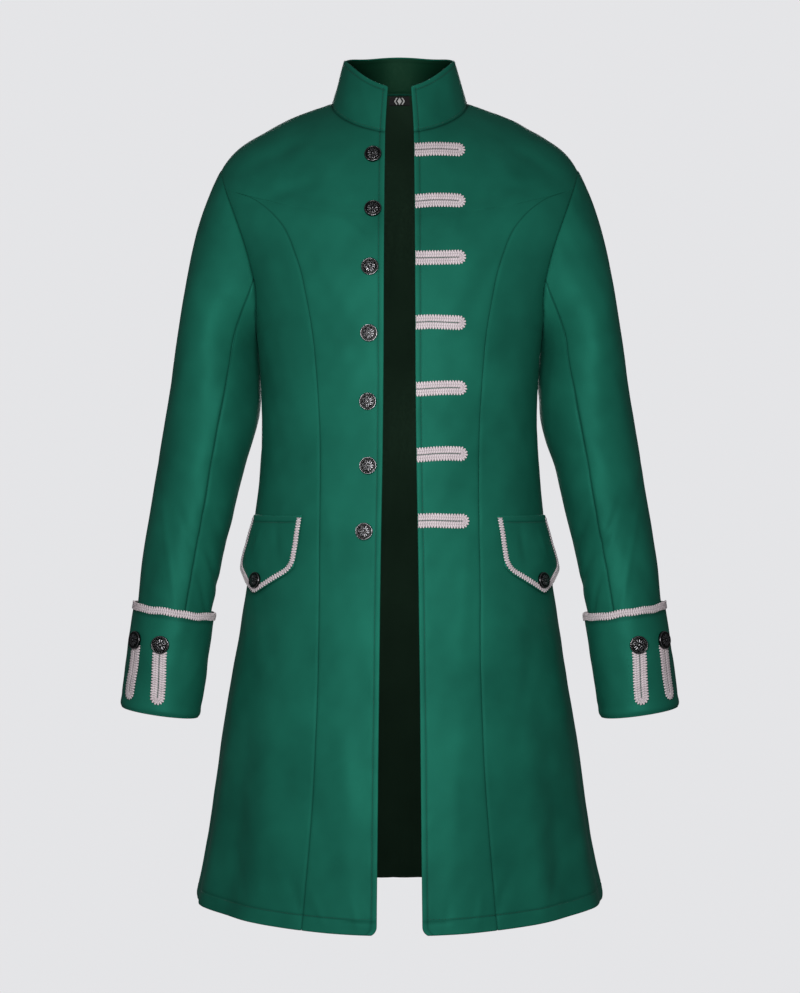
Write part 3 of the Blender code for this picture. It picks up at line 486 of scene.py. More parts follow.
def armhole_step(level):
    middle = (SHOULDER_TIP + ARMPIT) / 2
    turn = np.arccos(np.clip((level - middle) / (SHOULDER_TIP - middle), -1, 1))
    return np.degrees(turn) / 180 * ARMHOLE_STEPS


def armhole_angle(step, way):
    """The angle of the armhole's front (way -1) or back (way 1) edge."""
    turn = np.pi * np.asarray(step) / ARMHOLE_STEPS
    share = (1 - np.cos(turn)) / 2
    middle = SHOULDER_SEAM + (SIDE_SEAM - SHOULDER_SEAM) * share
    return middle + way * ARMHOLE_REACH * np.sin(turn)


def front_edge_angle(level):
    x = seam_x(FRONT_EDGE, ring_at(BODY_RINGS, level).front_z)
    above = np.clip(level - HEM, 0.0, HEM_CORNER)
    x = x + HEM_CORNER - np.sqrt(HEM_CORNER**2 - (HEM_CORNER - above) ** 2)
    return angle_at_x(level, x)


def princess_top():
    """The level at which the princess seam runs into the armhole."""
    _, level = halving(np.array([ARMPIT]), np.array([SHOULDER_TIP]), lambda height: angle_on_seam(
        PRINCESS_SEAM, height) < armhole_angle(armhole_step(height), -1))
    return level[0]


def front_rear_edge(level):
    """The rear edge of a front panel: the princess seam, then the armhole, then the shoulder seam."""
    inside = (level >= ARMPIT) & (level <= SHOULDER_TIP)
    hole = np.where(inside, armhole_angle(armhole_step(level), -1), SHOULDER_SEAM)
    seam = np.minimum(angle_on_seam(PRINCESS_SEAM, level), hole)
    return np.where(level > SHOULDER_TIP, SHOULDER_SEAM, seam)


def armhole_or(level, way, below):
    """The armhole's edge, with another seam below it and the shoulder seam above."""
    hole = armhole_angle(armhole_step(level), way)
    return np.where(level > SHOULDER_TIP, SHOULDER_SEAM, np.where(level < ARMPIT, below, hole))


# ---- how the cloth lies

def crease_height(u, v, crease):
    """Height of one crease at places u along and v up, in metres from its middle."""
    heading = math.radians(crease.heading)
    along = u * math.cos(heading) + v * math.sin(heading)
    across = -u * math.sin(heading) + v * math.cos(heading)
    across = across - crease.bow * along * np.abs(along) / crease.length
    taper = bump(along, crease.length * 0.55)
    return crease.height * taper * bump(across, crease.half_width)


def body_lie(points, angle, level, side):
    """How far the cloth stands off its plain form, with every fold of its side."""
    depth = coat_settings().fold_depth
    own = mirrored(points, side)
    total = 0.00055 * ripple(own, 0.085, 3) + 0.00022 * ripple(own, 0.034, 8)
    for flute in FLUTES:
        middle = flute.left_angle if side > 0 else flute.right_angle
        fall = ease(flute.top, HEM + 0.05, level)
        total = total + flute.height * fall * bump(angle - middle, flute.half_width)
    away, height = np.abs(points[..., 0]), points[..., 2]
    for table, share in ((FRONT_CREASES, ease(97.0, 88.0, angle)), (BACK_CREASES, ease(86.0, 97.0, angle))):
        for crease in table:
            if crease.side in (BOTH, side):
                total = total + share * crease_height(away - crease.x, height - crease.z, crease)
    # the neckline seam holds the cloth: near it the folds die down
    calm = 1 - 0.8 * ease(NECKLINE - 0.03, NECKLINE, level)
    corner = 0.0038 * turned_in(level - HEM, 0.010) * bump(angle - SIDE_SEAM, 16.0)
    return total * calm * depth - corner


def edge_lie(distance, along, seed):
    """The dip of a seam or folded edge, and the small puckers that its stitching draws in."""
    pucker = np.sin(along / 0.0105 + 1.7 * np.sin(along / 0.031 + seed) + seed)
    return -0.00055 * bump(distance, 0.0026) + 0.00014 * pucker * bump(distance - 0.004, 0.005)


def stitched_lie(distance, along, inset, seed):
    """The groove under a row of topstitching, with its puckers on both sides."""
    pucker = np.sin(along / 0.0062 + 2.1 * np.sin(along / 0.027 + seed) + seed)
    near = np.abs(distance - inset)
    return -0.00040 * bump(near, 0.0013) + 0.00020 * pucker * bump(near - 0.0022, 0.0035)


# ---- meshes

def loops_round(rows, columns, closed):
    index = np.arange(rows * columns).reshape(rows, columns)
    if closed:
        return [index[0], index[-1]]
    return [np.concatenate([index[0], index[1:, -1], index[-1, -2::-1], index[-2:0:-1, 0]])]


def quads_of(grid, closed):
    """Corner indices of each quad of a grid of vertex indices."""
    if closed:
        grid = np.concatenate([grid, grid[:, :1]], axis=1)
    return np.stack([grid[:-1, :-1], grid[:-1, 1:], grid[1:, 1:], grid[1:, :-1]], axis=-1).reshape(-1, 4)


def facing(faces, points, outwards):
    """The same faces, turned so that most look along the given directions."""
    corners = points[faces]
    found = np.cross(corners[:, 2] - corners[:, 0], corners[:, 3] - corners[:, 1])
    agreed = np.sum(found * outwards[faces[:, 0]])
    return faces if agreed >= 0 else faces[:, ::-1]


def new_object(name, points, faces, finishes, face_finish=None, flat=None, shade=None):
    """An object from arrays: flat is each vertex's place on the unrolled cloth, shade (0 to 1) its painted
    shade and highlight, polish on buttons.
    """
    mesh = bpy.data.meshes.new(name)
    mesh.from_pydata(points.reshape(-1, 3).tolist(), [], [face.tolist() for face in faces])
    mesh.shade_smooth()
    for finish in finishes:
        mesh.materials.append(finish)
    if face_finish is not None:
        mesh.polygons.foreach_set("material_index", np.asarray(face_finish, dtype=np.int32))
    corner = np.empty(len(mesh.loops), dtype=np.int32)
    mesh.loops.foreach_get("vertex_index", corner)
    if flat is not None:
        layer = mesh.uv_layers.new(name="Cloth")
        layer.data.foreach_set("uv", flat.reshape(-1, 2)[corner].astype(np.float32).ravel())
    tone = mesh.attributes.new("relief", "FLOAT", "POINT")
    values = np.full(len(mesh.vertices), 0.5) if shade is None else shade
    tone.data.foreach_set("value", values.astype(np.float32).ravel())
    mesh.update()
    made = bpy.data.objects.new(name, mesh)
    bpy.context.scene.collection.objects.link(made)
    return made


def unrolled(points):
    """Distances across and up a grid of points, for the weave."""
    across = running(points, axis=1)
    rise = running(points[:, points.shape[1] // 2])
    across = across - across.mean(axis=1, keepdims=True)
    return np.stack([across, np.broadcast_to(rise[:, None], across.shape)], axis=-1)


def sheet_of_cloth(name, outer, normals, wall, finishes, closed=False, shade=None, round_edges=4):
    """Cloth of a given wall from a grid of its outer face, with its lining inwards and rounded edges."""
    rows, columns = outer.shape[:2]
    count = rows * columns
    points = outer.reshape(-1, 3)
    out = normals.reshape(-1, 3)
    flat = unrolled(outer).reshape(-1, 2)
    shade = np.full(count, 0.5) if shade is None else shade.reshape(-1)
    index = np.arange(count).reshape(rows, columns)
    parts = [points, points - out * wall]
    flats, shades = [flat, flat], [shade, shade]
    face_out = facing(quads_of(index, closed), points, out)
    faces = [face_out, face_out[:, ::-1] + count]
    kinds = [np.zeros(len(face_out), int), np.ones(len(face_out), int)]
    total = 2 * count
    for border in loops_round(rows, columns, closed):
        ahead = points[np.roll(border, -1)] - points[np.roll(border, 1)]
        away = unit(np.cross(ahead, out[border]))
        inner = index[1, :] if closed and border[0] == index[0, 0] else index[-2, :]
        if closed:
            rough = points[border] - points[inner]
        else:
            rough = points[border] - points.mean(axis=0)
        if np.sum(rough * away) < 0:
            away = -away
        ring = [border]
        for k in range(1, round_edges):
            turn = math.pi * k / round_edges
            place = (points[border] - out[border] * wall / 2
                     + (out[border] * math.cos(turn) + away * math.sin(turn)) * wall / 2)
            parts.append(place)
            flats.append(flat[border] + math.sin(turn) * wall * 0.5)
            # painted highlight: each rounded edge is lighter towards its middle
            shades.append(np.minimum(shade[border] + 0.12 * math.sin(turn), 1.0))
            ring.append(np.arange(total, total + len(border)))
            total += len(border)
        ring.append(border + count)
        band = quads_of(np.array(ring), True)
        every = np.concatenate(parts)
        sideways = np.zeros_like(every)
        sideways[ring[1]] = away
        sideways[border] = away
        for k in range(1, len(ring) - 1):
            sideways[ring[k]] = away
        faces.append(facing(band, every, sideways))
        kinds.append(np.zeros(len(band), int))
    return new_object(name, np.concatenate(parts), np.concatenate(faces), finishes, np.concatenate(kinds),
                      np.concatenate(flats), np.concatenate(shades))


EDGE_STEPS = np.array([0.0, 0.0009, 0.0018, 0.0028, 0.0040, 0.0050, 0.0060, 0.0070, 0.0085, 0.0110])


def spaced(length, spacing, extra=()):
    """Places along a length, close together near its ends and any extra place, and evenly spaced between."""
    edge = EDGE_STEPS[-1]
    even = np.round(np.arange(0.0, length, spacing), 6)
    places = {place for place in even if edge <= place <= length - edge}
    places |= {*EDGE_STEPS, *(length - EDGE_STEPS)}
    for place in extra:
        places |= {place + step for step in (-0.0022, -0.0011, 0.0, 0.0011, 0.0022)}
    kept = []
    for place in sorted(p for p in places if 0.0 <= p <= length):
        if not kept or place - kept[-1] > 0.0006:
            kept.append(place)
    kept[-1] = length
    return np.array(kept)


def column_shares(widths, spacing):
    """For rows of different widths, shares of each width at which the columns stand, closer at both edges."""
    widest = float(np.max(widths))
    middle = max(int(round((widest - 2 * EDGE_STEPS[-1]) / spacing)), 2)
    rows = []
    for width in np.ravel(widths):
        room = min(1.0, width / (2 * EDGE_STEPS[-1] + 0.0012 * middle))
        first = EDGE_STEPS * room
        between = np.linspace(first[-1], width - first[-1], middle + 1)[1:-1]
        rows.append(np.concatenate([first, between, width - first[::-1]]) / width)
    return np.array(rows)


def mirrored(points, side):
    return points * np.array([side, 1.0, 1.0])


def grid_normals(points, closed=False):
    """Directions out of a grid whose columns run round and whose rows run down."""
    if closed:
        around = np.roll(points, -1, axis=1) - np.roll(points, 1, axis=1)
    else:
        around = np.gradient(points, axis=1)
    return unit(np.cross(around, np.gradient(points, axis=0)))


# ---- sewing

Thread = namedtuple("Thread", "points normals")


def along_path(points, values, spacing):
    """Values at evenly spaced places along a path of points."""
    distance = running(points)
    places = np.arange(0.0, distance[-1], spacing)
    return np.stack([np.interp(places, distance, values[:, k]) for k in range(values.shape[1])], axis=-1)


def stitches(name, threads, finish):
    """Rows of short stitches, each a small thread that dives at both ends."""
    settings = coat_settings()
    pitch, gap, radius = settings.stitch_length, settings.stitch_gap, settings.thread_width / 2
    profile = ((0.0, 0.0, -0.9), (0.22, 0.9, 0.1), (0.5, 1.0, 0.45), (0.78, 0.9, 0.1), (1.0, 0.0, -0.9))
    points, faces = [], []
    for thread in threads:
        start = along_path(thread.points, thread.points, pitch)
        out = unit(along_path(thread.points, thread.normals, pitch))
        ahead = unit(np.gradient(start, axis=0))
        beside = unit(np.cross(ahead, out))
        for place, up, way, across in zip(start, out, ahead, beside):
            base = len(points)
            for share, girth, lift in profile:
                centre = place + way * share * (pitch - gap) + up * radius * lift
                if girth == 0.0:
                    points.append(centre)
                    continue
                for turn in (0.0, 1.0, 2.0, 3.0):
                    angle = (turn + 0.5) * math.pi / 2
                    points.append(centre + (across * math.cos(angle) + up * math.sin(angle)) * radius * girth)
            for k in range(4):
                after = (k + 1) % 4
                faces.append((base, base + 1 + after, base + 1 + k))
                for low, high in ((base + 1, base + 5), (base + 5, base + 9)):
                    faces.append((low + k, low + after, high + after, high + k))
                faces.append((base + 9 + k, base + 9 + after, base + 13))
    return new_object(name, np.array(points), [np.array(face) for face in faces], [finish])


# ---- finishes

RIB_ANGLE = 63.0                 # of the twill's ribs, from level
GIMP_FIBRE_ANGLE = 40.0
WAVES_PER_SCALE = 20.0            # the wave texture's own factor


def node(tree, kind, **values):
    """A shader node with some of its settings and input values."""
    made = tree.nodes.new(kind)
    for name, value in values.items():
        if hasattr(made, name):
            setattr(made, name, value)
        else:
            made.inputs[name.replace("_", " ")].default_value = value
    return made


def new_finish(name, **constants):
    """A material's nodes and its Principled shader; constants are the shader's own inputs."""
    made = bpy.data.materials.get(name) or bpy.data.materials.new(name)
    made.use_nodes = True
    tree = made.node_tree
    tree.nodes.clear()
    shader = node(tree, "ShaderNodeBsdfPrincipled")
    for key, value in constants.items():
        shader.inputs[key.replace("_", " ")].default_value = value
    end = node(tree, "ShaderNodeOutputMaterial")
    tree.links.new(shader.outputs["BSDF"], end.inputs["Surface"])
    return tree, shader


def dress(tree, shader, colour, rough, relief=None):
    """Joins a shader to what gives it its colour, its roughness and its relief."""
    for socket, name in ((colour, "Base Color"), (rough, "Roughness"), (relief, "Normal")):
        if socket is not None:
            tree.links.new(socket, shader.inputs[name])


def ramp(tree, source, stops):
    """A colour ramp from a socket; stops are (place, colour), where a plain number is a grey."""
    made = node(tree, "ShaderNodeValToRGB")
    elements = made.color_ramp.elements
    while len(elements) < len(stops):
        elements.new(0.5)
    for element, (place, colour) in zip(elements, stops):
        element.position = place
        element.color = (colour, colour, colour, 1.0) if isinstance(colour, float) else (*colour, 1.0)
    tree.links.new(source, made.inputs["Fac"])
    return made.outputs["Color"]


def shades(colour, darker, lighter):
    return tuple(c * darker for c in colour), tuple(c * lighter for c in colour)


def multiply(tree, first, second, share=1.0):
    made = node(tree, "ShaderNodeMix", data_type="RGBA", blend_type="MULTIPLY")
    made.inputs[0].default_value = share
    tree.links.new(first, made.inputs[6])
    tree.links.new(second, made.inputs[7])
    return made.outputs[2]


def bumped(tree, height, distance, strength, before=None):
    made = node(tree, "ShaderNodeBump")
    made.inputs["Distance"].default_value = distance
    made.inputs["Strength"].default_value = strength
    tree.links.new(height, made.inputs["Height"])
    if before is not None:
        tree.links.new(before, made.inputs["Normal"])
    return made.outputs["Normal"]


def cloth_places(tree, turn=0.0):
    """Places on the unrolled cloth, in metres, turned by an angle."""
    places = node(tree, "ShaderNodeTexCoord")
    turned = node(tree, "ShaderNodeMapping")
    turned.inputs["Rotation"].default_value = (0.0, 0.0, math.radians(turn))
    tree.links.new(places.outputs["UV"], turned.inputs["Vector"])
    return turned.outputs["Vector"], places.outputs["Object"]


def bands(tree, places, pitch):
    """Even ribs a pitch apart."""
    made = node(tree, "ShaderNodeTexWave", wave_type="BANDS", bands_direction="X", wave_profile="SIN")
    made.inputs["Scale"].default_value = 2 * math.pi / WAVES_PER_SCALE / pitch
    made.inputs["Distortion"].default_value = 0.0
    tree.links.new(places, made.inputs["Vector"])
    return made.outputs["Fac"]


def cloudy(tree, places, size, detail=2.0):
    made = node(tree, "ShaderNodeTexNoise")
    made.inputs["Scale"].default_value = 1.0 / size
    made.inputs["Detail"].default_value = detail
    tree.links.new(places, made.inputs["Vector"])
    return made.outputs["Fac"]


def mottled(tree, places, size, detail, low, high):
    """Cloudy patches that go between two colours or two values."""
    return ramp(tree, cloudy(tree, places, size, detail), ((0.3, low), (0.7, high)))


def by_relief(tree, *stops):
    """A colour or value that follows the relief attribute, 0 sunk to 1 raised; on cloth and braid it paints
    shade and highlight.
    """
    found = node(tree, "ShaderNodeAttribute", attribute_name="relief")
    return ramp(tree, found.outputs["Fac"], stops)


def painted_shade_and_highlight(tree, darkest, lightest):
    """A multiplier of painted shade and painted highlight: dark in seams and grooves, light on folded edges.
    """
    return by_relief(tree, (0.0, darkest), (0.5, 1.0), (1.0, lightest))


def twill_cloth(name, colour):
    """Satin-faced twill: steep ribs, long floats along the warp, and a faint cloudiness of shade."""
    tree, shader = new_finish(name, Sheen_Weight=0.04, Sheen_Roughness=0.40,
                              Sheen_Tint=(0.15, 0.9, 0.65, 1.0), Specular_IOR_Level=0.30,
                              Specular_Tint=(0.10, 0.85, 0.62, 1.0))
    ribs_at, space = cloth_places(tree, RIB_ANGLE)
    threads_at, _ = cloth_places(tree)
    ribs = bands(tree, ribs_at, coat_settings().twill_pitch)
    fibres = cloudy(tree, threads_at, 0.0011, 3.0)
    cloud = mottled(tree, space, 0.075, 3.0, *shades(colour, 0.84, 1.15))
    ribbed = ramp(tree, ribs, ((0.0, 0.90), (1.0, 1.04)))
    # the cloth's colour takes painted shade in seams and grooves and painted highlight on folded edges
    dress(tree, shader, multiply(tree, multiply(tree, cloud, ribbed), painted_shade_and_highlight(tree, 0.22, 1.60)),
          ramp(tree, fibres, ((0.3, 0.44), (0.7, 0.58))),
          bumped(tree, fibres, 0.00008, 0.35, bumped(tree, ribs, 0.00010, 0.5)))


def lining_cloth(name, colour):
    """Smooth dark lining with a fine upright thread."""
    tree, shader = new_finish(name, Specular_IOR_Level=0.25, Specular_Tint=(0.28, 0.60, 0.38, 1.0))
    threads_at, space = cloth_places(tree)
    cloud = mottled(tree, space, 0.060, 2.0, *shades(colour, 0.88, 1.12))
    # the lining's rounded edges take a painted highlight
    dress(tree, shader, multiply(tree, cloud, painted_shade_and_highlight(tree, 0.6, 1.25)),
          mottled(tree, threads_at, 0.004, 2.0, 0.50, 0.62),
          bumped(tree, bands(tree, threads_at, 0.0006), 0.00005, 0.4))


def gimp_cord(name, colour):
    """Matt silvery braid: painted shade, dark and a little warm, in its gaps; painted highlight on its raised
    threads.
    """
    tree, shader = new_finish(name, Sheen_Weight=0.15, Sheen_Roughness=0.5, Specular_IOR_Level=0.30)
    threads_at, space = cloth_places(tree, GIMP_FIBRE_ANGLE)
    # painted shade in the gaps between threads, painted highlight on the raised threads
    gap = (colour[0] * 0.07, colour[1] * 0.06, colour[2] * 0.07)
    low, high = shades(colour, 0.70, 1.60)
    by_height = by_relief(tree, (0.0, gap), (0.40, low), (1.0, high))
    cloud = mottled(tree, space, 0.012, 2.0, (0.90, 0.89, 0.90), (1.05, 1.04, 1.05))
    fibres = cloudy(tree, threads_at, 0.0007)
    dress(tree, shader, multiply(tree, by_height, cloud), ramp(tree, fibres, ((0.3, 0.62), (0.7, 0.78))),
          bumped(tree, fibres, 0.00008, 0.6))


def blackened_metal(name, colour):
    """Cast metal, black in its hollows and rubbed to gunmetal on its raised work."""
    tree, shader = new_finish(name, Metallic=0.85, Coat_Weight=0.22, Coat_Roughness=0.10,
                              Specular_IOR_Level=0.60)
    _, space = cloth_places(tree)
    hollow, rubbed = shades(colour, 0.12, 28.0)
    by_height = by_relief(tree, (0.0, hollow), (0.58, colour), (1.0, rubbed))
    cloud = mottled(tree, space, 0.0030, 3.0, 0.75, 1.15)
    dress(tree, shader, multiply(tree, by_height, cloud), mottled(tree, space, 0.0016, 3.0, 0.14, 0.32),
          bumped(tree, cloudy(tree, space, 0.0008), 0.00005, 0.5))


def sewing_thread(name, colour):
    tree, shader = new_finish(name, Specular_IOR_Level=0.45, Sheen_Weight=0.1)
    _, space = cloth_places(tree)
    dress(tree, shader, mottled(tree, space, 0.004, 2.0, *shades(colour, 0.85, 1.15)),
          mottled(tree, space, 0.001, 2.0, 0.40, 0.55))


def woven_ribbon(name, colour):
    tree, shader = new_finish(name, Specular_IOR_Level=0.30)
    threads_at, _ = cloth_places(tree)
    ribs = bands(tree, threads_at, 0.0005)
    dark, light = shades(colour, 0.7, 1.3)
    dress(tree, shader, ramp(tree, ribs, ((0.0, dark), (1.0, light))),
          mottled(tree, threads_at, 0.001, 2.0, 0.55, 0.7), bumped(tree, ribs, 0.00006, 0.5))


def finishes():
    """Every finish by name, made the first time it is asked for."""
    if "green twill" not in bpy.data.materials:
        settings = coat_settings()
        twill_cloth("green twill", settings.cloth_colour)
        lining_cloth("dark lining", settings.lining_colour)
        # painted shade: the collar's inside is the green cloth in shade, given here as a darker cloth of its
        # own
        lining_cloth("shaded collar inside", settings.collar_inside_shade_colour)
        gimp_cord("silver gimp", settings.braid_colour)
        blackened_metal("black metal", settings.button_colour)
        # darker than the cloth: the thread's colour also paints the shade of the holes it sinks into
        sewing_thread("green thread", settings.thread_and_pit_shade_colour)
        woven_ribbon("black ribbon", (0.010, 0.010, 0.011))
        sewing_thread("silver thread", (0.72, 0.72, 0.72))
    return bpy.data.materials


def settle(piece, slot, *nodes):
    """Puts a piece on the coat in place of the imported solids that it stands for."""
    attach(piece, "root")
    if nodes:
        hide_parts(*nodes)
    return piece


def cloth_piece(name, side, plain, out, lie, wall, shade, inside="dark lining", closed=False):
    """A piece of twill: its plain form, its directions outwards, and how far it stands off that form."""
    made = finishes()
    outer = mirrored(plain + out * lie[..., None], side)
    piece = sheet_of_cloth(f"{name}_cloth", outer, mirrored(out, side), wall,
                           [made["green twill"], made[inside]], closed=closed, shade=shade)
    return settle(piece, "cloth", name)


def sew(name, *threads):
    """A piece's topstitching, as an object of its own."""
    return settle(stitches(f"{name}_stitching", threads, finishes()["green thread"]), "cloth")


# Painted shade along a seam, hem or row of stitching, and painted highlight along a fold: how strong, how
# wide
Line = namedtuple("Line", "depth half_width")
HEM_LINE = Line(0.18, 0.0013)
FRONT_STITCHING_LINE = Line(0.20, 0.0014)
# a painted highlight along the folded front edge: added to the shade, not taken from it
FRONT_FOLD = Line(0.20, 0.0022)
PRINCESS_LINE = Line(0.34, 0.0013)
SIDE_LINE = Line(0.36, 0.0017)
CENTRE_BACK_LINE = Line(0.38, 0.0017)
NECK_LINE = Line(0.35, 0.0016)
COLLAR_FOOT_LINE = Line(0.24, 0.0013)
# the collar's folded edges get a painted highlight this wide
COLLAR_FOLD_WIDTH = 0.002
ARM_LINE = Line(0.40, 0.0017)
ARMHOLE_LINE = Line(0.36, 0.0016)
STITCH_SINK = -0.00020           # how deep thread lies in the cloth


# how much painted shade, or along a fold painted highlight, a line gives the cloth at a distance from it
def tone(line, distance):
    return line.depth * bump(distance, line.half_width)


# ---- panels of the body

HALF_FOLD = CLOTH / 2 - SEAM_TUCK
Panel = namedtuple("Panel", "points angle level from_first from_last up lie")


def body_grid(level, first, last, side, spacing):
    """A grid over part of the body between two seams, with distances from both seams and its lowest row."""
    first = first + body_turn(first, level, HALF_FOLD)
    last = last - body_turn(last, level, HALF_FOLD)
    fine = first[:, None] + (last - first)[:, None] * np.linspace(0, 1, 65)
    distance = running(body_point(fine, level[:, None]), axis=1)
    widths = distance[:, -1]
    shares = column_shares(widths, spacing)
    angle = np.array([np.interp(share * width, run, turn)
                      for share, width, run, turn in zip(shares, widths, distance, fine)])
    rows = np.broadcast_to(level[:, None], angle.shape)
    plain = body_point(angle, rows)
    near = shares * widths[:, None] + HALF_FOLD
    return Panel(plain, angle, rows, near, widths[:, None] + 2 * HALF_FOLD - near,
                 running(plain) + HALF_FOLD, body_lie(plain, angle, rows, side))


def finish_panel(name, side, grid, lie, shade):
    return cloth_piece(name, side, grid.points, body_normal(grid.angle, grid.level), lie, CLOTH, shade)


def hem_thread(first, last, count, side):
    """The hem's topstitching, between two angles."""
    level = np.full(count, HEM + coat_settings().hem_inset)
    return body_thread(np.linspace(first, last, count), level, side)


def levels_between(low, high, spacing, extra=()):
    return low + spaced(high - low, spacing, extra=[place - low for place in extra])


def body_thread(angle, level, side):
    """A thread lying in the body's cloth."""
    plain = body_point(angle, level)
    out = body_normal(angle, level)
    height = body_lie(plain, angle, level, side) + STITCH_SINK
    return Thread(mirrored(plain + out * height[:, None], side), mirrored(out, side))


def hem_levels(settings, top=NECKLINE - HALF_FOLD):
    """Rows from the hem up, closer along its stitching and where the princess seam turns to the armhole."""
    turning = [princess_top() - 0.0050 * k for k in range(10)]
    return levels_between(HEM + HALF_FOLD, top, settings.mesh_step, [HEM + settings.hem_inset] + turning)


def make_front(name, side):
    settings = coat_settings()
    level = hem_levels(settings)
    grid = body_grid(level, front_edge_angle(level), front_rear_edge(level), side, settings.mesh_step)
    top = grid.up[-1:] - grid.up
    lie = (grid.lie + stitched_lie(grid.from_first, grid.up, settings.edge_inset, side)
           + stitched_lie(grid.up, grid.from_first, settings.hem_inset, 2.0 + side)
           + edge_lie(grid.from_last, grid.up, 4.0 * side) + edge_lie(top, grid.from_first, 1.0))
    # painted shade along the edge stitching, hem stitching, princess seam and neckline; painted highlight
    # along the folded front edge
    shade = (0.5 - tone(FRONT_STITCHING_LINE, grid.from_first - settings.edge_inset)
             - tone(HEM_LINE, grid.up - settings.hem_inset) + tone(FRONT_FOLD, grid.from_first)
             - tone(PRINCESS_LINE, grid.from_last) - tone(NECK_LINE, top))
    finish_panel(name, side, grid, lie, shade)

    low = np.arange(HEM + settings.hem_inset, NECKLINE - 0.002, 0.004)
    start = front_edge_angle(low)
    up_edge = body_thread(start + body_turn(start, low, settings.edge_inset), low, side)
    hem = np.array([HEM + settings.hem_inset])
    first, last = front_edge_angle(hem)[0] + 2.0, angle_on_seam(PRINCESS_SEAM, hem)[0] - 0.3
    sew(name, up_edge, hem_thread(first, last, 40, side))


def make_side_front(name, side):
    settings = coat_settings()
    level = hem_levels(settings, princess_top() - 0.0006)
    grid = body_grid(level, angle_on_seam(PRINCESS_SEAM, level), armhole_or(level, -1, SIDE_SEAM), side,
                     settings.mesh_step)
    lie = (grid.lie + stitched_lie(grid.up, grid.from_first, settings.hem_inset, 5.0 + side)
           + edge_lie(grid.from_first, grid.up, 4.0 * side) + edge_lie(grid.from_last, grid.up, 2.0 * side))
    # painted shade along the hem stitching, the princess seam and the side seam
    shade = (0.5 - tone(HEM_LINE, grid.up - settings.hem_inset) - tone(PRINCESS_LINE, grid.from_first)
             - tone(SIDE_LINE, grid.from_last))
    finish_panel(name, side, grid, lie, shade)
    hem = np.array([HEM + settings.hem_inset])
    sew(name, hem_thread(angle_on_seam(PRINCESS_SEAM, hem)[0] + 0.3, SIDE_SEAM - 0.3, 60, side))


def make_back(name, side):
    settings = coat_settings()
    level = hem_levels(settings)
    grid = body_grid(level, armhole_or(level, 1, SIDE_SEAM), np.full(len(level), CENTRE_BACK), side,
                     settings.mesh_step * 1.25)
    top = grid.up[-1:] - grid.up
    lie = (grid.lie + stitched_lie(grid.up, grid.from_first, settings.hem_inset, 8.0 + side)
           + edge_lie(grid.from_first, grid.up, 4.0 * side) + edge_lie(grid.from_last, grid.up, 3.0)
           + edge_lie(top, grid.from_first, 1.0))
    # the two backs meet at the middle, so what differs between them dies away there
    lie = lie * ease(0.0, 0.030, grid.from_last) + edge_lie(grid.from_last, grid.up, 3.0) * 0.5
    # painted shade along the hem stitching, the side seam, the centre back seam and the neckline
    shade = (0.5 - tone(HEM_LINE, grid.up - settings.hem_inset) - tone(SIDE_LINE, grid.from_first)
             - tone(CENTRE_BACK_LINE, grid.from_last) - tone(NECK_LINE, top))
    finish_panel(name, side, grid, lie, shade)
    sew(name, hem_thread(SIDE_SEAM + 0.3, CENTRE_BACK - 4.0, 90, side))


# ---- collar, lining, label

COLLAR_HEIGHT = 0.0575
COLLAR_INSET = 0.006             # of its topstitching, from its edges
COLLAR_FOOT_INSET = 0.0022
COLLAR_CORNER = 0.0035           # radius of its front corners
COLLAR_RISE = 0.0040
COLLAR_CREASES = rows_of(Crease,
    # side, distance from the front edge, height, heading, length, half width, height of the crease, bow
    (RIGHT, 0.020, 0.018, 62.0, 0.030, 0.0060, 0.0008),
    (RIGHT, 0.042, 0.024, 70.0, 0.040, 0.0080, -0.0010),
    (LEFT, 0.018, 0.022, 118.0, 0.030, 0.0060, 0.0008),
    (LEFT, 0.040, 0.026, 70.0, 0.036, 0.0080, -0.0010),
    (LEFT, 0.064, 0.026, 84.0, 0.050, 0.0110, 0.0009),
    (RIGHT, 0.066, 0.024, 78.0, 0.046, 0.0110, 0.0008),
    (BOTH, 0.110, 0.030, 86.0, 0.060, 0.0120, -0.0010),
    (LEFT, 0.012, 0.008, 40.0, 0.014, 0.0030, -0.0006),
    (RIGHT, 0.012, 0.007, 30.0, 0.014, 0.0030, -0.0006),
)


def collar_columns(settings):
    """Angles round the collar from its left front edge to its right one, with distances along its foot."""
    edge = float(angle_at_x(NECKLINE, seam_x(FRONT_EDGE, FRONT_EDGE[-2].z)))
    fine = np.linspace(edge, 360.0 - edge, 721)
    foot = ring_point(ring_at(COLLAR_RINGS, 0.5), fine)
    distance = running(foot)
    inset = COLLAR_WALL / 2
    places = inset + spaced(distance[-1] - 2 * inset, settings.mesh_step,
                            extra=(COLLAR_INSET - inset, distance[-1] - COLLAR_INSET - inset))
    return np.interp(places, distance, fine), places, distance[-1]


def collar_surface(angle, from_start, length, up):
    """The collar's outer face; up is the height above its foot, and the corners in front are rounded off."""
    near = np.minimum(from_start, length - from_start)
    cut = COLLAR_CORNER - np.sqrt(COLLAR_CORNER**2 - np.clip(COLLAR_CORNER - near, 0.0, COLLAR_CORNER) ** 2)
    share = up / COLLAR_HEIGHT * (1 - cut / COLLAR_HEIGHT)
    points = ring_point(ring_at(COLLAR_RINGS, share), angle)
    # it stands a little higher just behind the sides of the neck
    points[..., 2] += COLLAR_RISE * share * bump(np.abs(angle - CENTRE_BACK) - 64.0, 28.0)
    return points


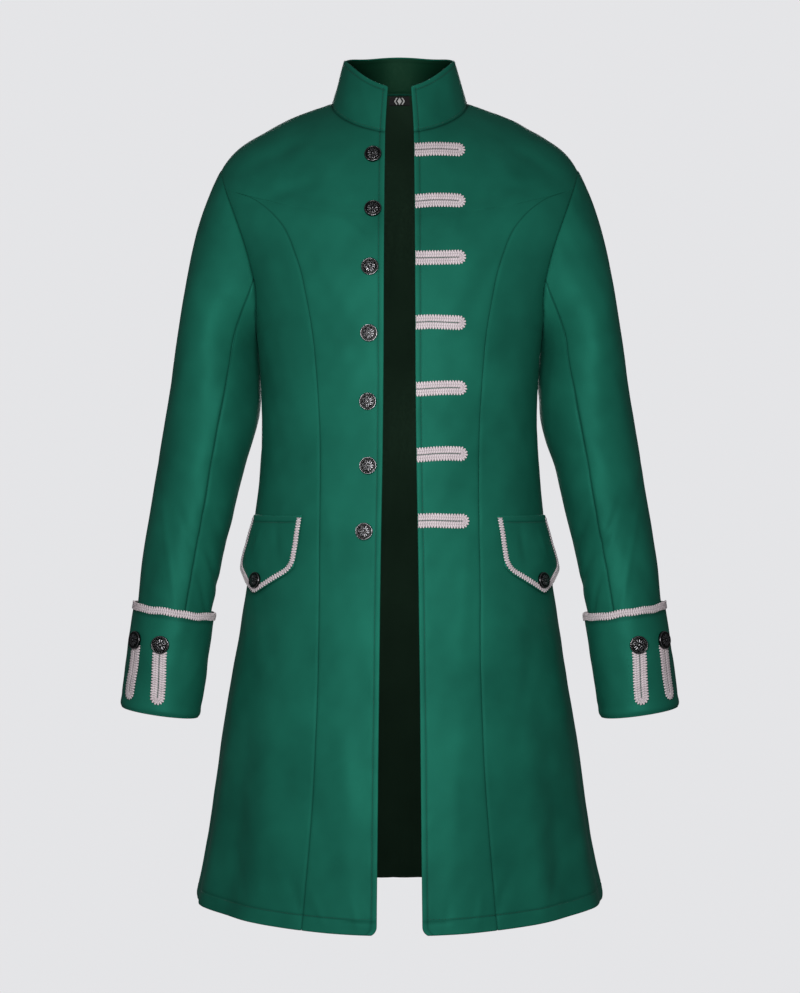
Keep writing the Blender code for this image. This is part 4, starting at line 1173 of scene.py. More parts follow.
def collar_lie(from_start, length, up, stitched=True):
    near = np.minimum(from_start, length - from_start)
    left = from_start < length / 2
    place = stack(from_start, up, 0.0 * up)
    total = 0.00035 * ripple(place, 0.050, 21) + 0.00015 * ripple(place, 0.022, 22)
    for crease in COLLAR_CREASES:
        mine = 1.0 if crease.side == BOTH else np.where(left == (crease.side == LEFT), 1.0, 0.0)
        total = total + mine * crease_height(near - crease.x, up - crease.z, crease)
    if stitched:
        over = COLLAR_HEIGHT - up
        total = total + np.where(over > COLLAR_INSET - 0.003, stitched_lie(near, up, COLLAR_INSET, 1.0), 0.0)
        sunk = stitched_lie(over, near, COLLAR_INSET, 3.0)
        total = total + np.where(near > COLLAR_INSET - 0.003, sunk, 0.0)
        total = total + stitched_lie(up, near, COLLAR_FOOT_INSET, 6.0) + edge_lie(up, near, 2.0)
    return total


def make_collar():
    settings = coat_settings()
    angle, places, length = collar_columns(settings)
    up = spaced(COLLAR_HEIGHT - COLLAR_WALL / 2, settings.mesh_step * 0.8,
                extra=(COLLAR_HEIGHT - COLLAR_INSET, COLLAR_FOOT_INSET))
    up_grid, angle_grid = np.meshgrid(up, angle, indexing="ij")
    place_grid = np.broadcast_to(places, up_grid.shape)
    plain = collar_surface(angle_grid, place_grid, length, up_grid)
    out = unit(np.cross(np.gradient(plain, axis=1), np.gradient(plain, axis=0)))
    lie = collar_lie(place_grid, length, up_grid)
    near = np.minimum(place_grid, length - place_grid)
    over = COLLAR_HEIGHT - up_grid
    # painted shade along the topstitching and the foot seam, painted highlight along the folded edges
    line = np.maximum(bump(near - COLLAR_INSET, 0.0010) * (over > 0.004),
                      bump(over - COLLAR_INSET, 0.0010) * (near > 0.004))
    fold = np.maximum(bump(near, COLLAR_FOLD_WIDTH), bump(over, COLLAR_FOLD_WIDTH))
    shade = 0.5 - 0.22 * line - tone(COLLAR_FOOT_LINE, up_grid) + 0.20 * fold
    # the collar's inside takes the darker cloth that paints its shade
    cloth_piece("collar", 1.0, plain, out, lie, COLLAR_WALL, shade, inside="shaded collar inside")

    def thread(places_at, up_at):
        def surface(p, u):
            return collar_surface(np.interp(p, places, angle), p, length, u)

        here = surface(places_at, up_at)
        around = surface(places_at + 0.001, up_at) - surface(places_at - 0.001, up_at)
        rise = surface(places_at, up_at + 0.001) - surface(places_at, up_at - 0.001)
        facing_out = unit(np.cross(around, rise))
        height = collar_lie(places_at, length, up_at, stitched=False) + STITCH_SINK
        return Thread(here + facing_out * height[:, None], facing_out)

    top = COLLAR_HEIGHT - COLLAR_INSET
    edge_up = np.linspace(0.004, top, 14)
    over_top = np.linspace(COLLAR_INSET, length - COLLAR_INSET, 160)
    along_foot = np.linspace(0.004, length - 0.004, 160)
    sew("collar", thread(np.full(14, COLLAR_INSET), edge_up), thread(over_top, np.full(160, top)),
        thread(np.full(14, length - COLLAR_INSET), edge_up[::-1]),
        thread(along_foot, np.full(160, COLLAR_FOOT_INSET)))


def lining_point(angle, level, depth):
    return body_point(angle, level) - body_normal(angle, level) * (CLOTH + LINING_GAP + depth)[..., None]


def lining_lie(angle, level):
    """Slack in the lining: soft upright folds that fade towards the neck."""
    waves = (0.0016 * np.sin(np.radians(angle) * 21.0 + 0.8 * np.sin(level * 9.0))
             + 0.0009 * np.sin(np.radians(angle) * 37.0 + level * 14.0))
    return np.abs(waves) * ease(NECKLINE - 0.02, NECKLINE - 0.25, level)


def make_lining():
    settings = coat_settings()
    level = levels_between(HEM + 0.0010, NECKLINE - 0.0010, settings.mesh_step * 1.5)
    edge = armhole_or(level, 1, SIDE_SEAM) + 0.5
    share = np.linspace(-1.0, 1.0, 97)
    angle = CENTRE_BACK + (CENTRE_BACK - edge)[:, None] * share[None, :]
    rows = np.broadcast_to(level[:, None], angle.shape)
    beyond = angle > CENTRE_BACK
    side = np.where(beyond, -1.0, 1.0)
    folded = np.where(beyond, 360.0 - angle, angle)
    # where the cloth folds inwards, the lining gives way to it
    plain = body_point(folded, rows)
    fold = np.where(beyond, body_lie(plain, folded, rows, -1.0), body_lie(plain, folded, rows, 1.0))
    here = lining_point(folded, rows, lining_lie(angle, rows) + np.clip(-fold, 0.0, None))
    out = body_normal(folded, rows)
    here[..., 0] *= side
    out[..., 0] *= side
    both_faces = [finishes()["dark lining"]] * 2
    piece = sheet_of_cloth("lining_back_cloth", here, out, LINING_WALL, both_faces, round_edges=2)
    settle(piece, "lining", "lining_back")


def make_label():
    """A woven ribbon label with a plain device, a filled lozenge between two chevrons, in silver thread."""
    across = np.linspace(-1.0, 1.0, 25)
    up = np.linspace(LABEL_LEVELS[0], LABEL_LEVELS[1], 13)
    x = across * LABEL_WIDTH / 2
    centre = lining_point(np.full(len(up), CENTRE_BACK), up, np.full(len(up), LINING_WALL + 0.0010))
    rows = np.stack([stack(x, c[1] + LABEL_CURVE * x**2, c[2]) for c in centre])
    out = unit(np.cross(np.gradient(rows, axis=1), np.gradient(rows, axis=0)))
    out = np.where(out[..., 1:2] > 0, -out, out)
    made = finishes()
    settle(sheet_of_cloth("label_ribbon", rows, out, LABEL_WALL, [made["black ribbon"]] * 2, round_edges=2),
           "label", "label")

    def on_label(px, pz):
        """A place on the label from its middle, a little in front of its face."""
        height = np.interp(pz, [-0.5, 0.5], [0.0, 1.0]) * (len(up) - 1)
        y = np.interp(height, np.arange(len(up)), rows[:, 12, 1]) + LABEL_CURVE * px**2
        z = np.interp(height, np.arange(len(up)), rows[:, 12, 2])
        return stack(px, y - 0.0004, z)

    reach = 0.38
    up_stroke = np.linspace(-reach, reach, 25)[:, None]
    fall = 1 - np.abs(up_stroke) / reach
    shapes = (("label_lozenge", 0.0, 0.0, 0.0028 * fall + 0.0001),
              ("label_chevron_left", -1.0, 0.0034, 0.0007),
              ("label_chevron_right", 1.0, 0.0034, 0.0007))
    for name, way, start, half in shapes:
        middle = way * (start + 0.0026 * fall)
        px = middle + half * np.linspace(-1.0, 1.0, 7)[None, :]
        face = on_label(px, np.broadcast_to(up_stroke, px.shape))
        front = np.broadcast_to(np.array([0.0, -1.0, 0.0]), face.shape)
        settle(sheet_of_cloth(name, face, front, 0.0003, [made["silver thread"]] * 2, round_edges=2), "label")


# ---- sleeves and cuffs

def arm_point(ring, angle, height=0.0):
    """A point of a sleeve ring at +X. Degrees: 0 is the outside, 90 the front, 180 the body's side."""
    turn = np.radians(angle + ring.lean)
    lean = np.radians(ring.lean)
    wide = (ring.half_width + height) * np.cos(turn)
    deep = (ring.half_depth + height) * np.sin(turn)
    across = wide * np.cos(lean) + deep * np.sin(lean)
    forward = deep * np.cos(lean) - wide * np.sin(lean)
    return stack(ring.x + across * math.cos(ARM_TILT), ring.y - forward, ring.z + across * math.sin(ARM_TILT))


def armhole_edge(number):
    """The armhole's edge at a side number of the sleeve."""
    number = np.mod(number, SLEEVE_SIDES)
    front = number <= ARMHOLE_STEPS
    step = np.where(front, number, SLEEVE_SIDES - number)
    angle = np.where(front, armhole_angle(step, -1), armhole_angle(step, 1))
    return angle, armhole_level(step)


def side_angle(ring, number):
    return 360.0 * number / SLEEVE_SIDES + ring.seam - EVEN_SEAM


def sleeve_point(number, down):
    """The sleeve's face: down is 0 at the armhole, 1 at the first ring and 2 at the wrist."""
    number, down = np.broadcast_arrays(np.asarray(number, float), np.asarray(down, float))
    turn = 2 * np.pi * number / SLEEVE_SIDES
    angle, level = armhole_edge(number)
    start = body_point(angle, level) - body_normal(angle, level) * 0.0002
    first = SLEEVE_RINGS[0]
    end = arm_point(first, side_angle(first, number))
    length = np.linalg.norm(end - start, axis=-1)[..., None]
    leave = unit(stack(0.33 + 0.17 * np.cos(turn), -0.25 * np.sin(turn), -0.87))
    arrive = np.array([math.sin(ARM_TILT), 0.0, -math.cos(ARM_TILT)])
    second = start + leave * length * CAP_START_PULL
    third = end - arrive * length * CAP_END_PULL
    t = np.clip(down, 0.0, 1.0)[..., None]
    cap = start * (1 - t) ** 3 + second * 3 * t * (1 - t) ** 2 + third * 3 * t**2 * (1 - t) + end * t**3
    last = SLEEVE_RINGS[-1].z
    ring = ring_at(SLEEVE_RINGS, first.z + (last - first.z) * np.clip(down - 1.0, 0.0, 1.0))
    arm = arm_point(ring, side_angle(ring, number))
    return np.where(down[..., None] <= 1.0, cap, arm)


def sleeve_out(number, down):
    step, fall = 0.15, 0.012
    around = sleeve_point(number + step, down) - sleeve_point(number - step, down)
    above, below = np.maximum(down - fall, 0.0), np.minimum(down + fall, 2.0)
    return unit(np.cross(around, sleeve_point(number, below) - sleeve_point(number, above)))


SLEEVE_LENGTH = 0.67
SLEEVE_TUCK = 0.0030
SLEEVE_TOP_GAP = 0.0008
SLEEVE_SIDE_WIDTH = 0.021        # one side of the sleeve's ring
ARM_LENGTH = 0.452               # from the first ring to the wrist


def sleeve_lie(points, number, distance, side):
    """Folds of the sleeve; distance is down from the armhole."""
    own = mirrored(points, side)
    total = 0.0005 * ripple(own, 0.090, 31) + 0.00025 * ripple(own, 0.030, 32)
    for crease in SLEEVE_CREASES:
        if crease.side not in (BOTH, side):
            continue
        away = np.mod(number - crease.around + ARMHOLE_STEPS, SLEEVE_SIDES) - ARMHOLE_STEPS
        beneath = crease.down * SLEEVE_LENGTH - distance
        total = total + crease_height(away * SLEEVE_SIDE_WIDTH, beneath, crease)
    ease_in = 0.00025 * np.sin(number * 9.0) * bump(distance - 0.006, 0.012)
    # the cloth hangs smooth down the outside of the arm
    outside = np.mod(number + ARMHOLE_STEPS, SLEEVE_SIDES) - ARMHOLE_STEPS
    total = total * (1 - 0.75 * bump(outside, 1.6))
    return (total * ease(0.0, 0.030, distance) + ease_in) * coat_settings().fold_depth


def make_sleeve(name, side, first, last):
    settings = coat_settings()
    arm_rows = int(ARM_LENGTH / settings.mesh_step)
    down = np.concatenate([[0.0, 0.004, 0.010, 0.018], np.linspace(0.03, 1.0, CAP_ROWS),
                           1.0 + np.linspace(0.0, 1.0, arm_rows + 1)[1:]])
    fine_number = np.linspace(first, last, 81)[None, :]
    places = sleeve_point(fine_number, down[:, None])
    distance = running(places, axis=1)
    widths = distance[:, -1] - 2 * HALF_FOLD
    shares = column_shares(widths, settings.mesh_step)
    at = shares * widths[:, None] + HALF_FOLD
    number = np.array([np.interp(row, run, fine_number[0]) for row, run in zip(at, distance)])
    rows = np.broadcast_to(down[:, None], number.shape)
    plain = sleeve_point(number, rows)
    out = sleeve_out(number, rows)
    from_top = running(plain) + SLEEVE_TOP_GAP
    from_last = distance[:, -1:] - at
    lie = (sleeve_lie(plain, number, from_top, side) + edge_lie(at, from_top, 1.0 + first)
           + edge_lie(from_last, from_top, 2.0) + edge_lie(from_top, at, 3.0))
    # the seam allowance turns in behind the body's edge
    plain[0] -= body_normal(*armhole_edge(number[0])) * SLEEVE_TUCK
    # painted shade along both sleeve seams and round the armhole seam
    shade = 0.5 - tone(ARM_LINE, at) - tone(ARM_LINE, from_last) - tone(ARMHOLE_LINE, from_top)
    cloth_piece(name, side, plain, out, lie, CLOTH, shade)


def cuff_point(angle, down, height=0.0):
    """A point on the cuff's outer face, moved out by height."""
    top, foot = CUFF_RINGS[0].z, CUFF_RINGS[-1].z
    return arm_point(ring_at(CUFF_RINGS, top + (foot - top) * np.asarray(down)), angle, height)


def cuff_lie(angle, down, side):
    angle, down = np.broadcast_arrays(np.asarray(angle, float), np.asarray(down, float))
    turn = np.radians(angle)
    place = stack(np.cos(turn) * 0.05 * side, np.sin(turn) * 0.05, down * CUFF_HEIGHT)
    total = 0.0005 * ripple(place, 0.055, 41) + 0.0002 * ripple(place, 0.022, 42)
    for crease in CUFF_CREASES:
        if crease.side in (BOTH, side):
            away = np.mod(angle - crease.around + 180.0, 360.0) - 180.0
            total = total + crease_height(away * CUFF_DEGREE, (crease.down - down) * CUFF_HEIGHT, crease)
    return total * coat_settings().fold_depth


def make_cuff(name, side):
    settings = coat_settings()
    columns = int(0.315 / settings.mesh_step)
    angle = np.arange(columns)[None, :] * 360.0 / columns
    down = (0.001 + spaced(CUFF_HEIGHT - 0.0022, settings.mesh_step)) / CUFF_HEIGHT
    angle = np.broadcast_to(angle, (len(down), columns))
    rows = np.broadcast_to(down[:, None], angle.shape)
    plain = cuff_point(angle, rows)
    out = grid_normals(plain, closed=True)
    foot = (1 - rows) * CUFF_HEIGHT
    roll = (0.0004 * bump(foot - 0.007, 0.006) - 0.0003 * bump(foot - 0.014, 0.004)
            - 0.0024 * turned_in(foot, 0.006))
    lie = cuff_lie(angle, rows, side) + roll
    # painted shade just below the braid, painted highlight along the folded foot
    shade = 0.5 - 0.25 * bump(rows * CUFF_HEIGHT - 0.008, 0.003) + 0.10 * bump(foot, 0.003)
    cloth_piece(name, side, plain, out, lie, CUFF_WALL, shade, inside="green twill", closed=True)


# ---- braid

GIMP_PITCH = 0.0034              # from one scallop of the edge to the next
GIMP_STEP = GIMP_PITCH / 7       # between the mesh's rows
GIMP_HEIGHT = 0.00150
SCALLOP = 0.0012                 # how far its edge comes and goes
DOUBLED_GAP = 0.0004             # half the gap between the two runs of a doubled ribbon
BRAID_LIFT = 0.0005              # between braid and cuff


def gimp_profile(along, share, slant, inner):
    """Height of gimp above the cloth, and how raised it is from 0 to 1; share is 0 to 1 across its width."""
    middle = np.abs(share - 0.5) * 2
    edge = ease(0.40, 0.90, middle) * np.where(share < 0.5, inner, 1.0)
    bead = 0.5 + 0.5 * np.cos(2 * np.pi * along / GIMP_PITCH)
    # finer strands slant away from the middle on both sides, towards the beads of its edges
    strand = 0.5 + 0.5 * np.cos(2 * np.pi * (along / GIMP_PITCH * 1.25 + slant * middle))
    plaited = (0.40 + 0.52 * strand) * (1 - 0.30 * bump(middle, 0.18))
    plaited = plaited * (1 - 0.75 * (1 - inner) * bump(share, 0.10))
    raised = plaited * (1 - edge) + (0.08 + 0.92 * bead) * edge
    return GIMP_HEIGHT * (1 - middle**4 * 0.40) * (0.45 + 0.55 * raised), np.clip(raised, 0.0, 1.0)


def gimp(name, place, along, width, side, closed=False, across_steps=15, inner=1.0):
    """One ribbon of gimp. place(along, across, height) gives its points, with across from 0 to its width, and
    inner is how scalloped its first edge is beside the other."""
    share = np.linspace(0.0, 1.0, across_steps)[None, :]
    rows = np.broadcast_to(along[:, None], (len(along), across_steps))
    scallop = SCALLOP * (0.5 + 0.5 * np.cos(2 * np.pi * rows / GIMP_PITCH))
    swell = np.where(share > 0.5, ease(0.6, 1.0, share), -inner * ease(0.4, 0.0, share))
    reach = share * width + scallop * swell
    height, raised = gimp_profile(rows, np.broadcast_to(share, rows.shape), width * 75.0, inner)
    top = place(rows, reach, height)
    foot = place(rows, reach, height * 0 + 0.00015)
    top, foot = mirrored(top, side).reshape(-1, 3), mirrored(foot, side).reshape(-1, 3)
    index = np.arange(rows.size).reshape(rows.shape)
    # the braid's shade follows how raised it is: painted shade low down, painted highlight on its beads
    points, out, shade = [top], unit(top - foot), [raised.reshape(-1)]
    faces = [facing(quads_of(np.concatenate([index, index[:1]]) if closed else index, False), top, out)]
    flat = np.stack([reach, rows], axis=-1).reshape(-1, 2)
    flats = [flat]
    borders = [index[:, 0], index[:, -1]] if closed else loops_round(*rows.shape, False)
    for border in borders:
        start = sum(len(part) for part in points)
        points.append(foot[border])
        # painted shade down the braid's sides to the cloth
        shade.append(np.full(len(border), 0.1))
        flats.append(flat[border])
        every = np.concatenate(points)
        sideways = np.zeros_like(every)
        beside = border + (1 if border[0] == 0 else -1)
        sideways[border] = top[border] - (top[beside] if closed else top.mean(axis=0))
        band = np.array([border, np.arange(start, start + len(border))])
        sideways[band[1]] = sideways[border]
        faces.append(facing(quads_of(band, True), every, sideways))
    return new_object(name, np.concatenate(points), np.concatenate(faces), [finishes()["silver gimp"]], None,
                      np.concatenate(flats), np.concatenate(shade))


def doubled_gimp(name, place, length, width, side):
    """A ribbon laid out, turned round at the far end and laid back beside itself, with a line between."""
    ribbon = width / 2 - DOUBLED_GAP
    straight = length - width / 2
    turn_length = math.pi * ribbon
    total = 2 * straight + turn_length
    along = np.linspace(0.0, total, int(total / GIMP_STEP))

    def on_loop(run, across, height):
        out = DOUBLED_GAP + across
        bend = np.clip((run - straight) / turn_length, 0.0, 1.0) * math.pi
        forward = np.where(run < straight, run, np.where(run > straight + turn_length, total - run, straight))
        bent = (run >= straight) & (run <= straight + turn_length)
        x = np.where(bent, straight + out * np.sin(bend), forward)
        y = np.where(bent, out * np.cos(bend), np.where(run < straight, out, -out))
        return place(x, y, height)

    return gimp(name, on_loop, along, ribbon, side, inner=0.2)


def on_body(angle, level, height, side):
    plain = body_point(angle, level)
    return plain + body_normal(angle, level) * (body_lie(plain, angle, level, side) + height)[..., None]


def make_front_braid(number, row):
    start = float(seam_x(FRONT_EDGE, row.braid_z)) + BRAID_SET_BACK
    slack = random.Random(number)
    wave, phase = slack.uniform(0.0004, 0.0008), slack.uniform(0, 6)

    def place(along, across, height):
        x = start + along
        z = row.braid_z + across + wave * np.sin(along / 0.013 + phase) - 0.0007 * ease(0.02, 0.0, along)
        angle, level = front_spot(x, z)
        return on_body(angle, level, height + 0.00045, 1.0)

    name = f"front_braid_{number}"
    length, width = row.braid_end - start - SCALLOP, BRAID_HEIGHT - 2 * SCALLOP
    settle(doubled_gimp(f"{name}_gimp", place, length, width, 1.0), "braid", name)


def make_cuff_edge_braid(name, side):
    """Braid round the cuff's top edge, standing a little above it."""
    count = int(CUFF_ROUND / GIMP_STEP)
    whole = round(CUFF_ROUND / GIMP_PITCH) * GIMP_PITCH
    along = np.arange(count) * whole / count

    def place(run, across, height):
        angle = run / whole * 360.0
        down = (across - CUFF_BRAID_RISE) / CUFF_HEIGHT
        lie = cuff_lie(angle, np.clip(down, 0, 1), side)
        on = cuff_point(angle, np.clip(down, 0.0, 1.0), lie + BRAID_LIFT + height)
        on[..., 2] += np.clip(-down, 0.0, 1.0) * CUFF_HEIGHT
        on[..., 2] += 0.0006 * np.sin(np.radians(angle) * 5) + 0.0004 * np.sin(np.radians(angle) * 11 + side)
        return on

    settle(gimp(f"{name}_gimp", place, along, CUFF_BRAID_WIDTH - SCALLOP, side, closed=True), "braid", name)


def make_cuff_tab(name, side, tab):
    height = (CUFF_TAB_FOOT - CUFF_TAB_TOP) * CUFF_HEIGHT

    def place(along, across, lift):
        down = CUFF_TAB_TOP + along / CUFF_HEIGHT
        centre = tab.top_angle + (tab.foot_angle - tab.top_angle) * along / height
        speed = np.linalg.norm(cuff_point(centre + 1, down) - cuff_point(centre - 1, down), axis=-1) / 2
        angle = centre + (across + 0.0003 * np.sin(along / 0.010 + tab.turn)) / speed
        return cuff_point(angle, down, cuff_lie(angle, down, side) + BRAID_LIFT + lift)

    settle(doubled_gimp(f"{name}_gimp", place, height, CUFF_TAB_WIDTH - SCALLOP, side), "braid", name)


# ---- flaps

def flap_depth(across):
    """From the flap's top down to its pointed lower edge, with its corners a little rounded."""
    before, after = (FLAP_POINT - across) / FLAP_POINT, (across - FLAP_POINT) / (1 - FLAP_POINT)
    away = np.sqrt(np.where(across < FLAP_POINT, before, after)**2 + 0.0016) - 0.012
    near = np.minimum(across, 1 - across) * FLAP_WIDTH
    rounded = 0.0045 * np.clip(1 - near / 0.013, 0.0, 1.0) ** 2
    return FLAP_POINT_DEPTH + (FLAP_CORNER_DEPTH - FLAP_POINT_DEPTH) * away - rounded


def flap_place(across, down, height, side, own_lie=True):
    across, down = np.broadcast_arrays(np.asarray(across, float), np.asarray(down, float))
    depth = flap_depth(across) * down
    share = depth / FLAP_POINT_DEPTH
    front = FLAP_FRONT_ANGLES[0] + (FLAP_FRONT_ANGLES[1] - FLAP_FRONT_ANGLES[0]) * share
    rear = FLAP_REAR_ANGLES[0] + (FLAP_REAR_ANGLES[1] - FLAP_REAR_ANGLES[0]) * share
    angle = front + (rear - front) * across
    level = FLAP_TOP - depth
    stand = FLAP_LIFT + FLAP_STAND * np.clip(across, 0, 1)**1.5 * share + height
    if own_lie:
        wide, deep = (across - 0.3) * FLAP_WIDTH, 0.035 - depth
        sag = (crease_height(wide, deep, Crease(BOTH, 0, 0, 78.0 + 8 * side, 0.05, 0.007, -0.0009))
               + crease_height(wide - 0.040, deep, Crease(BOTH, 0, 0, 96.0, 0.045, 0.008, 0.0008))
               + crease_height(wide - 0.012, deep + 0.03, Crease(BOTH, 0, 0, 20.0, 0.03, 0.006, 0.0006)))
        waviness = 0.0003 * ripple(stack(across * 0.1, depth, 0 * depth), 0.03, 51)
        stand = stand + sag * ease(0.0, 0.02, depth) + waviness
    return on_body(angle, level, stand, side)


def flap_out(across, down, side):
    step = 0.03
    sideways = flap_place(across + step, down, 0.0, side) - flap_place(across - step, down, 0.0, side)
    up = flap_place(across, down - step, 0.0, side) - flap_place(across, down + step, 0.0, side)
    return unit(np.cross(sideways, up))


def make_flap(name, side):
    inset = FLAP_WALL / 2
    across = (inset + spaced(FLAP_WIDTH - 2 * inset, 0.0022)) / FLAP_WIDTH
    deep = FLAP_POINT_DEPTH
    down = (inset + spaced(deep - 2 * inset, 0.0022, extra=(FLAP_BAND - inset,))) / deep
    rows, columns = np.meshgrid(down, across, indexing="ij")
    depth = flap_depth(columns) * rows
    band = (0.0006 * ease(FLAP_BAND + 0.0012, FLAP_BAND - 0.0004, depth)
            - 0.0005 * bump(depth - FLAP_BAND, 0.0012))
    plain = flap_place(columns, rows, FLAP_WALL - 0.0002, side)
    out = flap_out(columns, rows, side)
    # painted shade along the stitched band, painted highlight along the top edge
    shade = 0.5 - 0.22 * bump(depth - FLAP_BAND, 0.0011) + 0.14 * bump(depth - 0.001, 0.002)
    # rows run down here, so the grid is turned over to have them run up
    cloth_piece(name, side, plain[::-1], out[::-1], band[::-1], FLAP_WALL - 0.0004, shade[::-1],
                inside="green twill")
    line = np.linspace(0.02, 0.98, 50)
    rows_sewn = []
    for at in (FLAP_BAND + 0.0010, 0.0022):
        share = at / flap_depth(line)
        points = flap_place(line, share, FLAP_WALL + (0.0001 if at < 0.005 else -0.0003), side)
        rows_sewn.append(Thread(mirrored(points, side), mirrored(flap_out(line, share, side), side)))
    sew(name, *rows_sewn)


def flap_edge():
    """A line down the flap's front side, along its pointed edge and up its rear side: across and down."""
    margin = 0.0010
    corners = [(margin, FLAP_BRAID_TOP * FLAP_CORNER_DEPTH), (margin, FLAP_CORNER_DEPTH - margin * 1.4),
               (FLAP_POINT * FLAP_WIDTH, FLAP_POINT_DEPTH - margin * 1.2),
               (FLAP_WIDTH - margin, FLAP_CORNER_DEPTH - margin * 1.4),
               (FLAP_WIDTH - margin, FLAP_BRAID_TOP * FLAP_CORNER_DEPTH)]
    return [Vector((x, z)) for x, z in corners]


def rounded_path(corners, radii, spacing):
    """Evenly spaced places along straight runs with rounded corners."""
    points = [corners[0]]
    for before, here, after, radius in zip(corners, corners[1:], corners[2:], radii):
        start = here + (before - here).normalized() * radius
        end = here + (after - here).normalized() * radius
        for k in range(9):
            t = k / 8
            points.append(start * (1 - t) ** 2 + here * 2 * t * (1 - t) + end * t**2)
    points.append(corners[-1])
    flat = np.array([(p.x, p.y) for p in points])
    distance = running(flat)
    at = np.arange(0.0, distance[-1], spacing)
    return at, np.stack([np.interp(at, distance, flat[:, 0]), np.interp(at, distance, flat[:, 1])], axis=-1)


def make_flap_braid(name, side):
    at, line = rounded_path(flap_edge(), FLAP_BRAID_RADII, GIMP_STEP)
    ahead = unit(np.gradient(line, axis=0))
    inward = np.stack([-ahead[:, 1], ahead[:, 0]], axis=-1)
    middle = np.array([FLAP_WIDTH / 2, FLAP_CORNER_DEPTH / 2])
    if np.sum(inward * (middle - line)) < 0:
        inward = -inward

    def place(run, across, height):
        x = np.interp(run, at, line[:, 0]) + np.interp(run, at, inward[:, 0]) * across
        z = np.interp(run, at, line[:, 1]) + np.interp(run, at, inward[:, 1]) * across
        share = x / FLAP_WIDTH
        return flap_place(share, z / flap_depth(share), FLAP_WALL - 0.0001 + height, side)

    width = FLAP_BRAID_WIDTH - 2 * SCALLOP
    settle(gimp(f"{name}_gimp", place, at, width, side, across_steps=13), "braid", name)


# ---- buttons

def button_relief(radius, turn):
    """Height and polish of a cast button at a distance from its middle (0 to 1) and an angle in radians."""
    rim = bump(radius - 0.93, 0.05)
    beads = bump(radius - 0.80, 0.055) * (0.55 + 0.45 * np.cos(turn * BUTTON_BEADS))
    fold = np.abs(np.sin(turn * BUTTON_PETALS / 2))
    leaf = ease(0.70, 0.62, radius) * ease(0.20, 0.30, radius) * ease(0.16, 0.55, fold * (1.35 - radius))
    vein = bump(fold - 0.98, 0.10) * ease(0.68, 0.50, radius) * ease(0.25, 0.35, radius)
    between = bump(radius - 0.56, 0.10) * bump(fold, 0.22)
    heart = bump(radius, 0.17) + 0.5 * bump(radius - 0.20, 0.035)
    raised = 0.9 * rim + 0.7 * beads + 0.8 * leaf - 0.45 * vein + 0.8 * between + 1.0 * heart
    return raised, np.clip(0.05 + 0.85 * raised, 0.0, 1.0)


def make_button(name, node_name, radius, foot, out, turn):
    """A domed shank button with cast relief, standing on a place along the direction out of the cloth."""
    rings = np.concatenate([np.linspace(0.02, 0.98, 34), [0.995, 1.0]])
    sectors = 104
    r, a = np.meshgrid(rings, np.arange(sectors) * 2 * math.pi / sectors, indexing="ij")
    raised, polish = button_relief(r, a)
    dome = 0.24 + 0.20 * np.sqrt(np.clip(1 - (r * 0.98) ** 2, 0.0, 1.0)) / 0.98
    height = (dome + BUTTON_RELIEF * raised) * radius
    height[-2:] = height[-3] - np.array([[0.03], [0.07]]) * radius
    flat_r = r * radius
    back = ((1.0, 0.12), (0.93, 0.07), (0.55, 0.045), (0.22, 0.04), (0.20, 0.0))
    loops, tones = [*stack(flat_r * np.cos(a), flat_r * np.sin(a), height)], [*polish]
    for reach, up in back:
        loops.append(stack(reach * radius * np.cos(a[0]), reach * radius * np.sin(a[0]), up * radius))
        tones.append(np.full(sectors, 0.15))
    points = np.concatenate([np.concatenate(loops), [[0.0, 0.0, height[0].mean()], [0.0, 0.0, 0.0]]])
    index = np.arange(len(loops) * sectors).reshape(len(loops), sectors)
    top, bottom = len(points) - 2, len(points) - 1
    faces = [*quads_of(index, True)[:, ::-1]]
    for k in range(sectors):
        after = (k + 1) % sectors
        faces.append(np.array([top, index[0, k], index[0, after]]))
        faces.append(np.array([bottom, index[-1, after], index[-1, k]]))
    frame_turn = out.to_track_quat("Z", "Y").to_matrix()
    spin = np.array([[math.cos(turn), -math.sin(turn), 0], [math.sin(turn), math.cos(turn), 0], [0, 0, 1]])
    placed = points @ spin.T @ np.array(frame_turn).T + np.array(foot)
    shade = np.concatenate([np.concatenate(tones), [1.0, 0.1]])
    settle(new_object(name, placed, faces, [finishes()["black metal"]], None, points[:, :2], shade), "button",
           node_name)


def make_front_button(number, row):
    angle, level = front_spot(row.button_x, row.button_z)
    place = on_body(angle, level, np.asarray(0.0002), -1.0)
    out = mirrored(body_normal(angle, level), -1.0)
    name = f"front_button_{number}"
    make_button(f"{name}_metal", name, BUTTON_RADIUS, Vector(mirrored(place, -1.0)), Vector(out),
                math.radians(row.turn))


def make_cuff_button(name, side, tab):
    angle, down = np.asarray(tab.top_angle), np.asarray(CUFF_BUTTON_DOWN)
    foot = cuff_point(angle, down, cuff_lie(angle, down, side) + 0.0012)
    out = unit(cuff_point(angle, down, 0.01) - cuff_point(angle, down, 0.0))
    make_button(f"{name}_metal", name, CUFF_BUTTON_RADIUS, Vector(mirrored(foot, side)),
                Vector(mirrored(out, side)), math.radians(tab.turn * side))


def make_flap_button(name, side):
    foot = flap_place(FLAP_POINT, FLAP_BUTTON_DOWN, FLAP_WALL + 0.0010, side)
    out = flap_out(np.asarray(FLAP_POINT), np.asarray(FLAP_BUTTON_DOWN), side)
    make_button(f"{name}_metal", name, FLAP_BUTTON_RADIUS, Vector(mirrored(foot, side)),
                Vector(mirrored(out, side)), math.radians(25.0 * side))


# ---- settings

def colour_setting(name, description, default):
    return FloatVectorProperty(name=name, description=description, default=default, subtype="COLOR", size=3,
                               min=0.0, max=1.0)


def length_setting(name, description, default):
    return FloatProperty(name=name, description=description, default=default, min=0.0, unit="LENGTH",
                         precision=5)


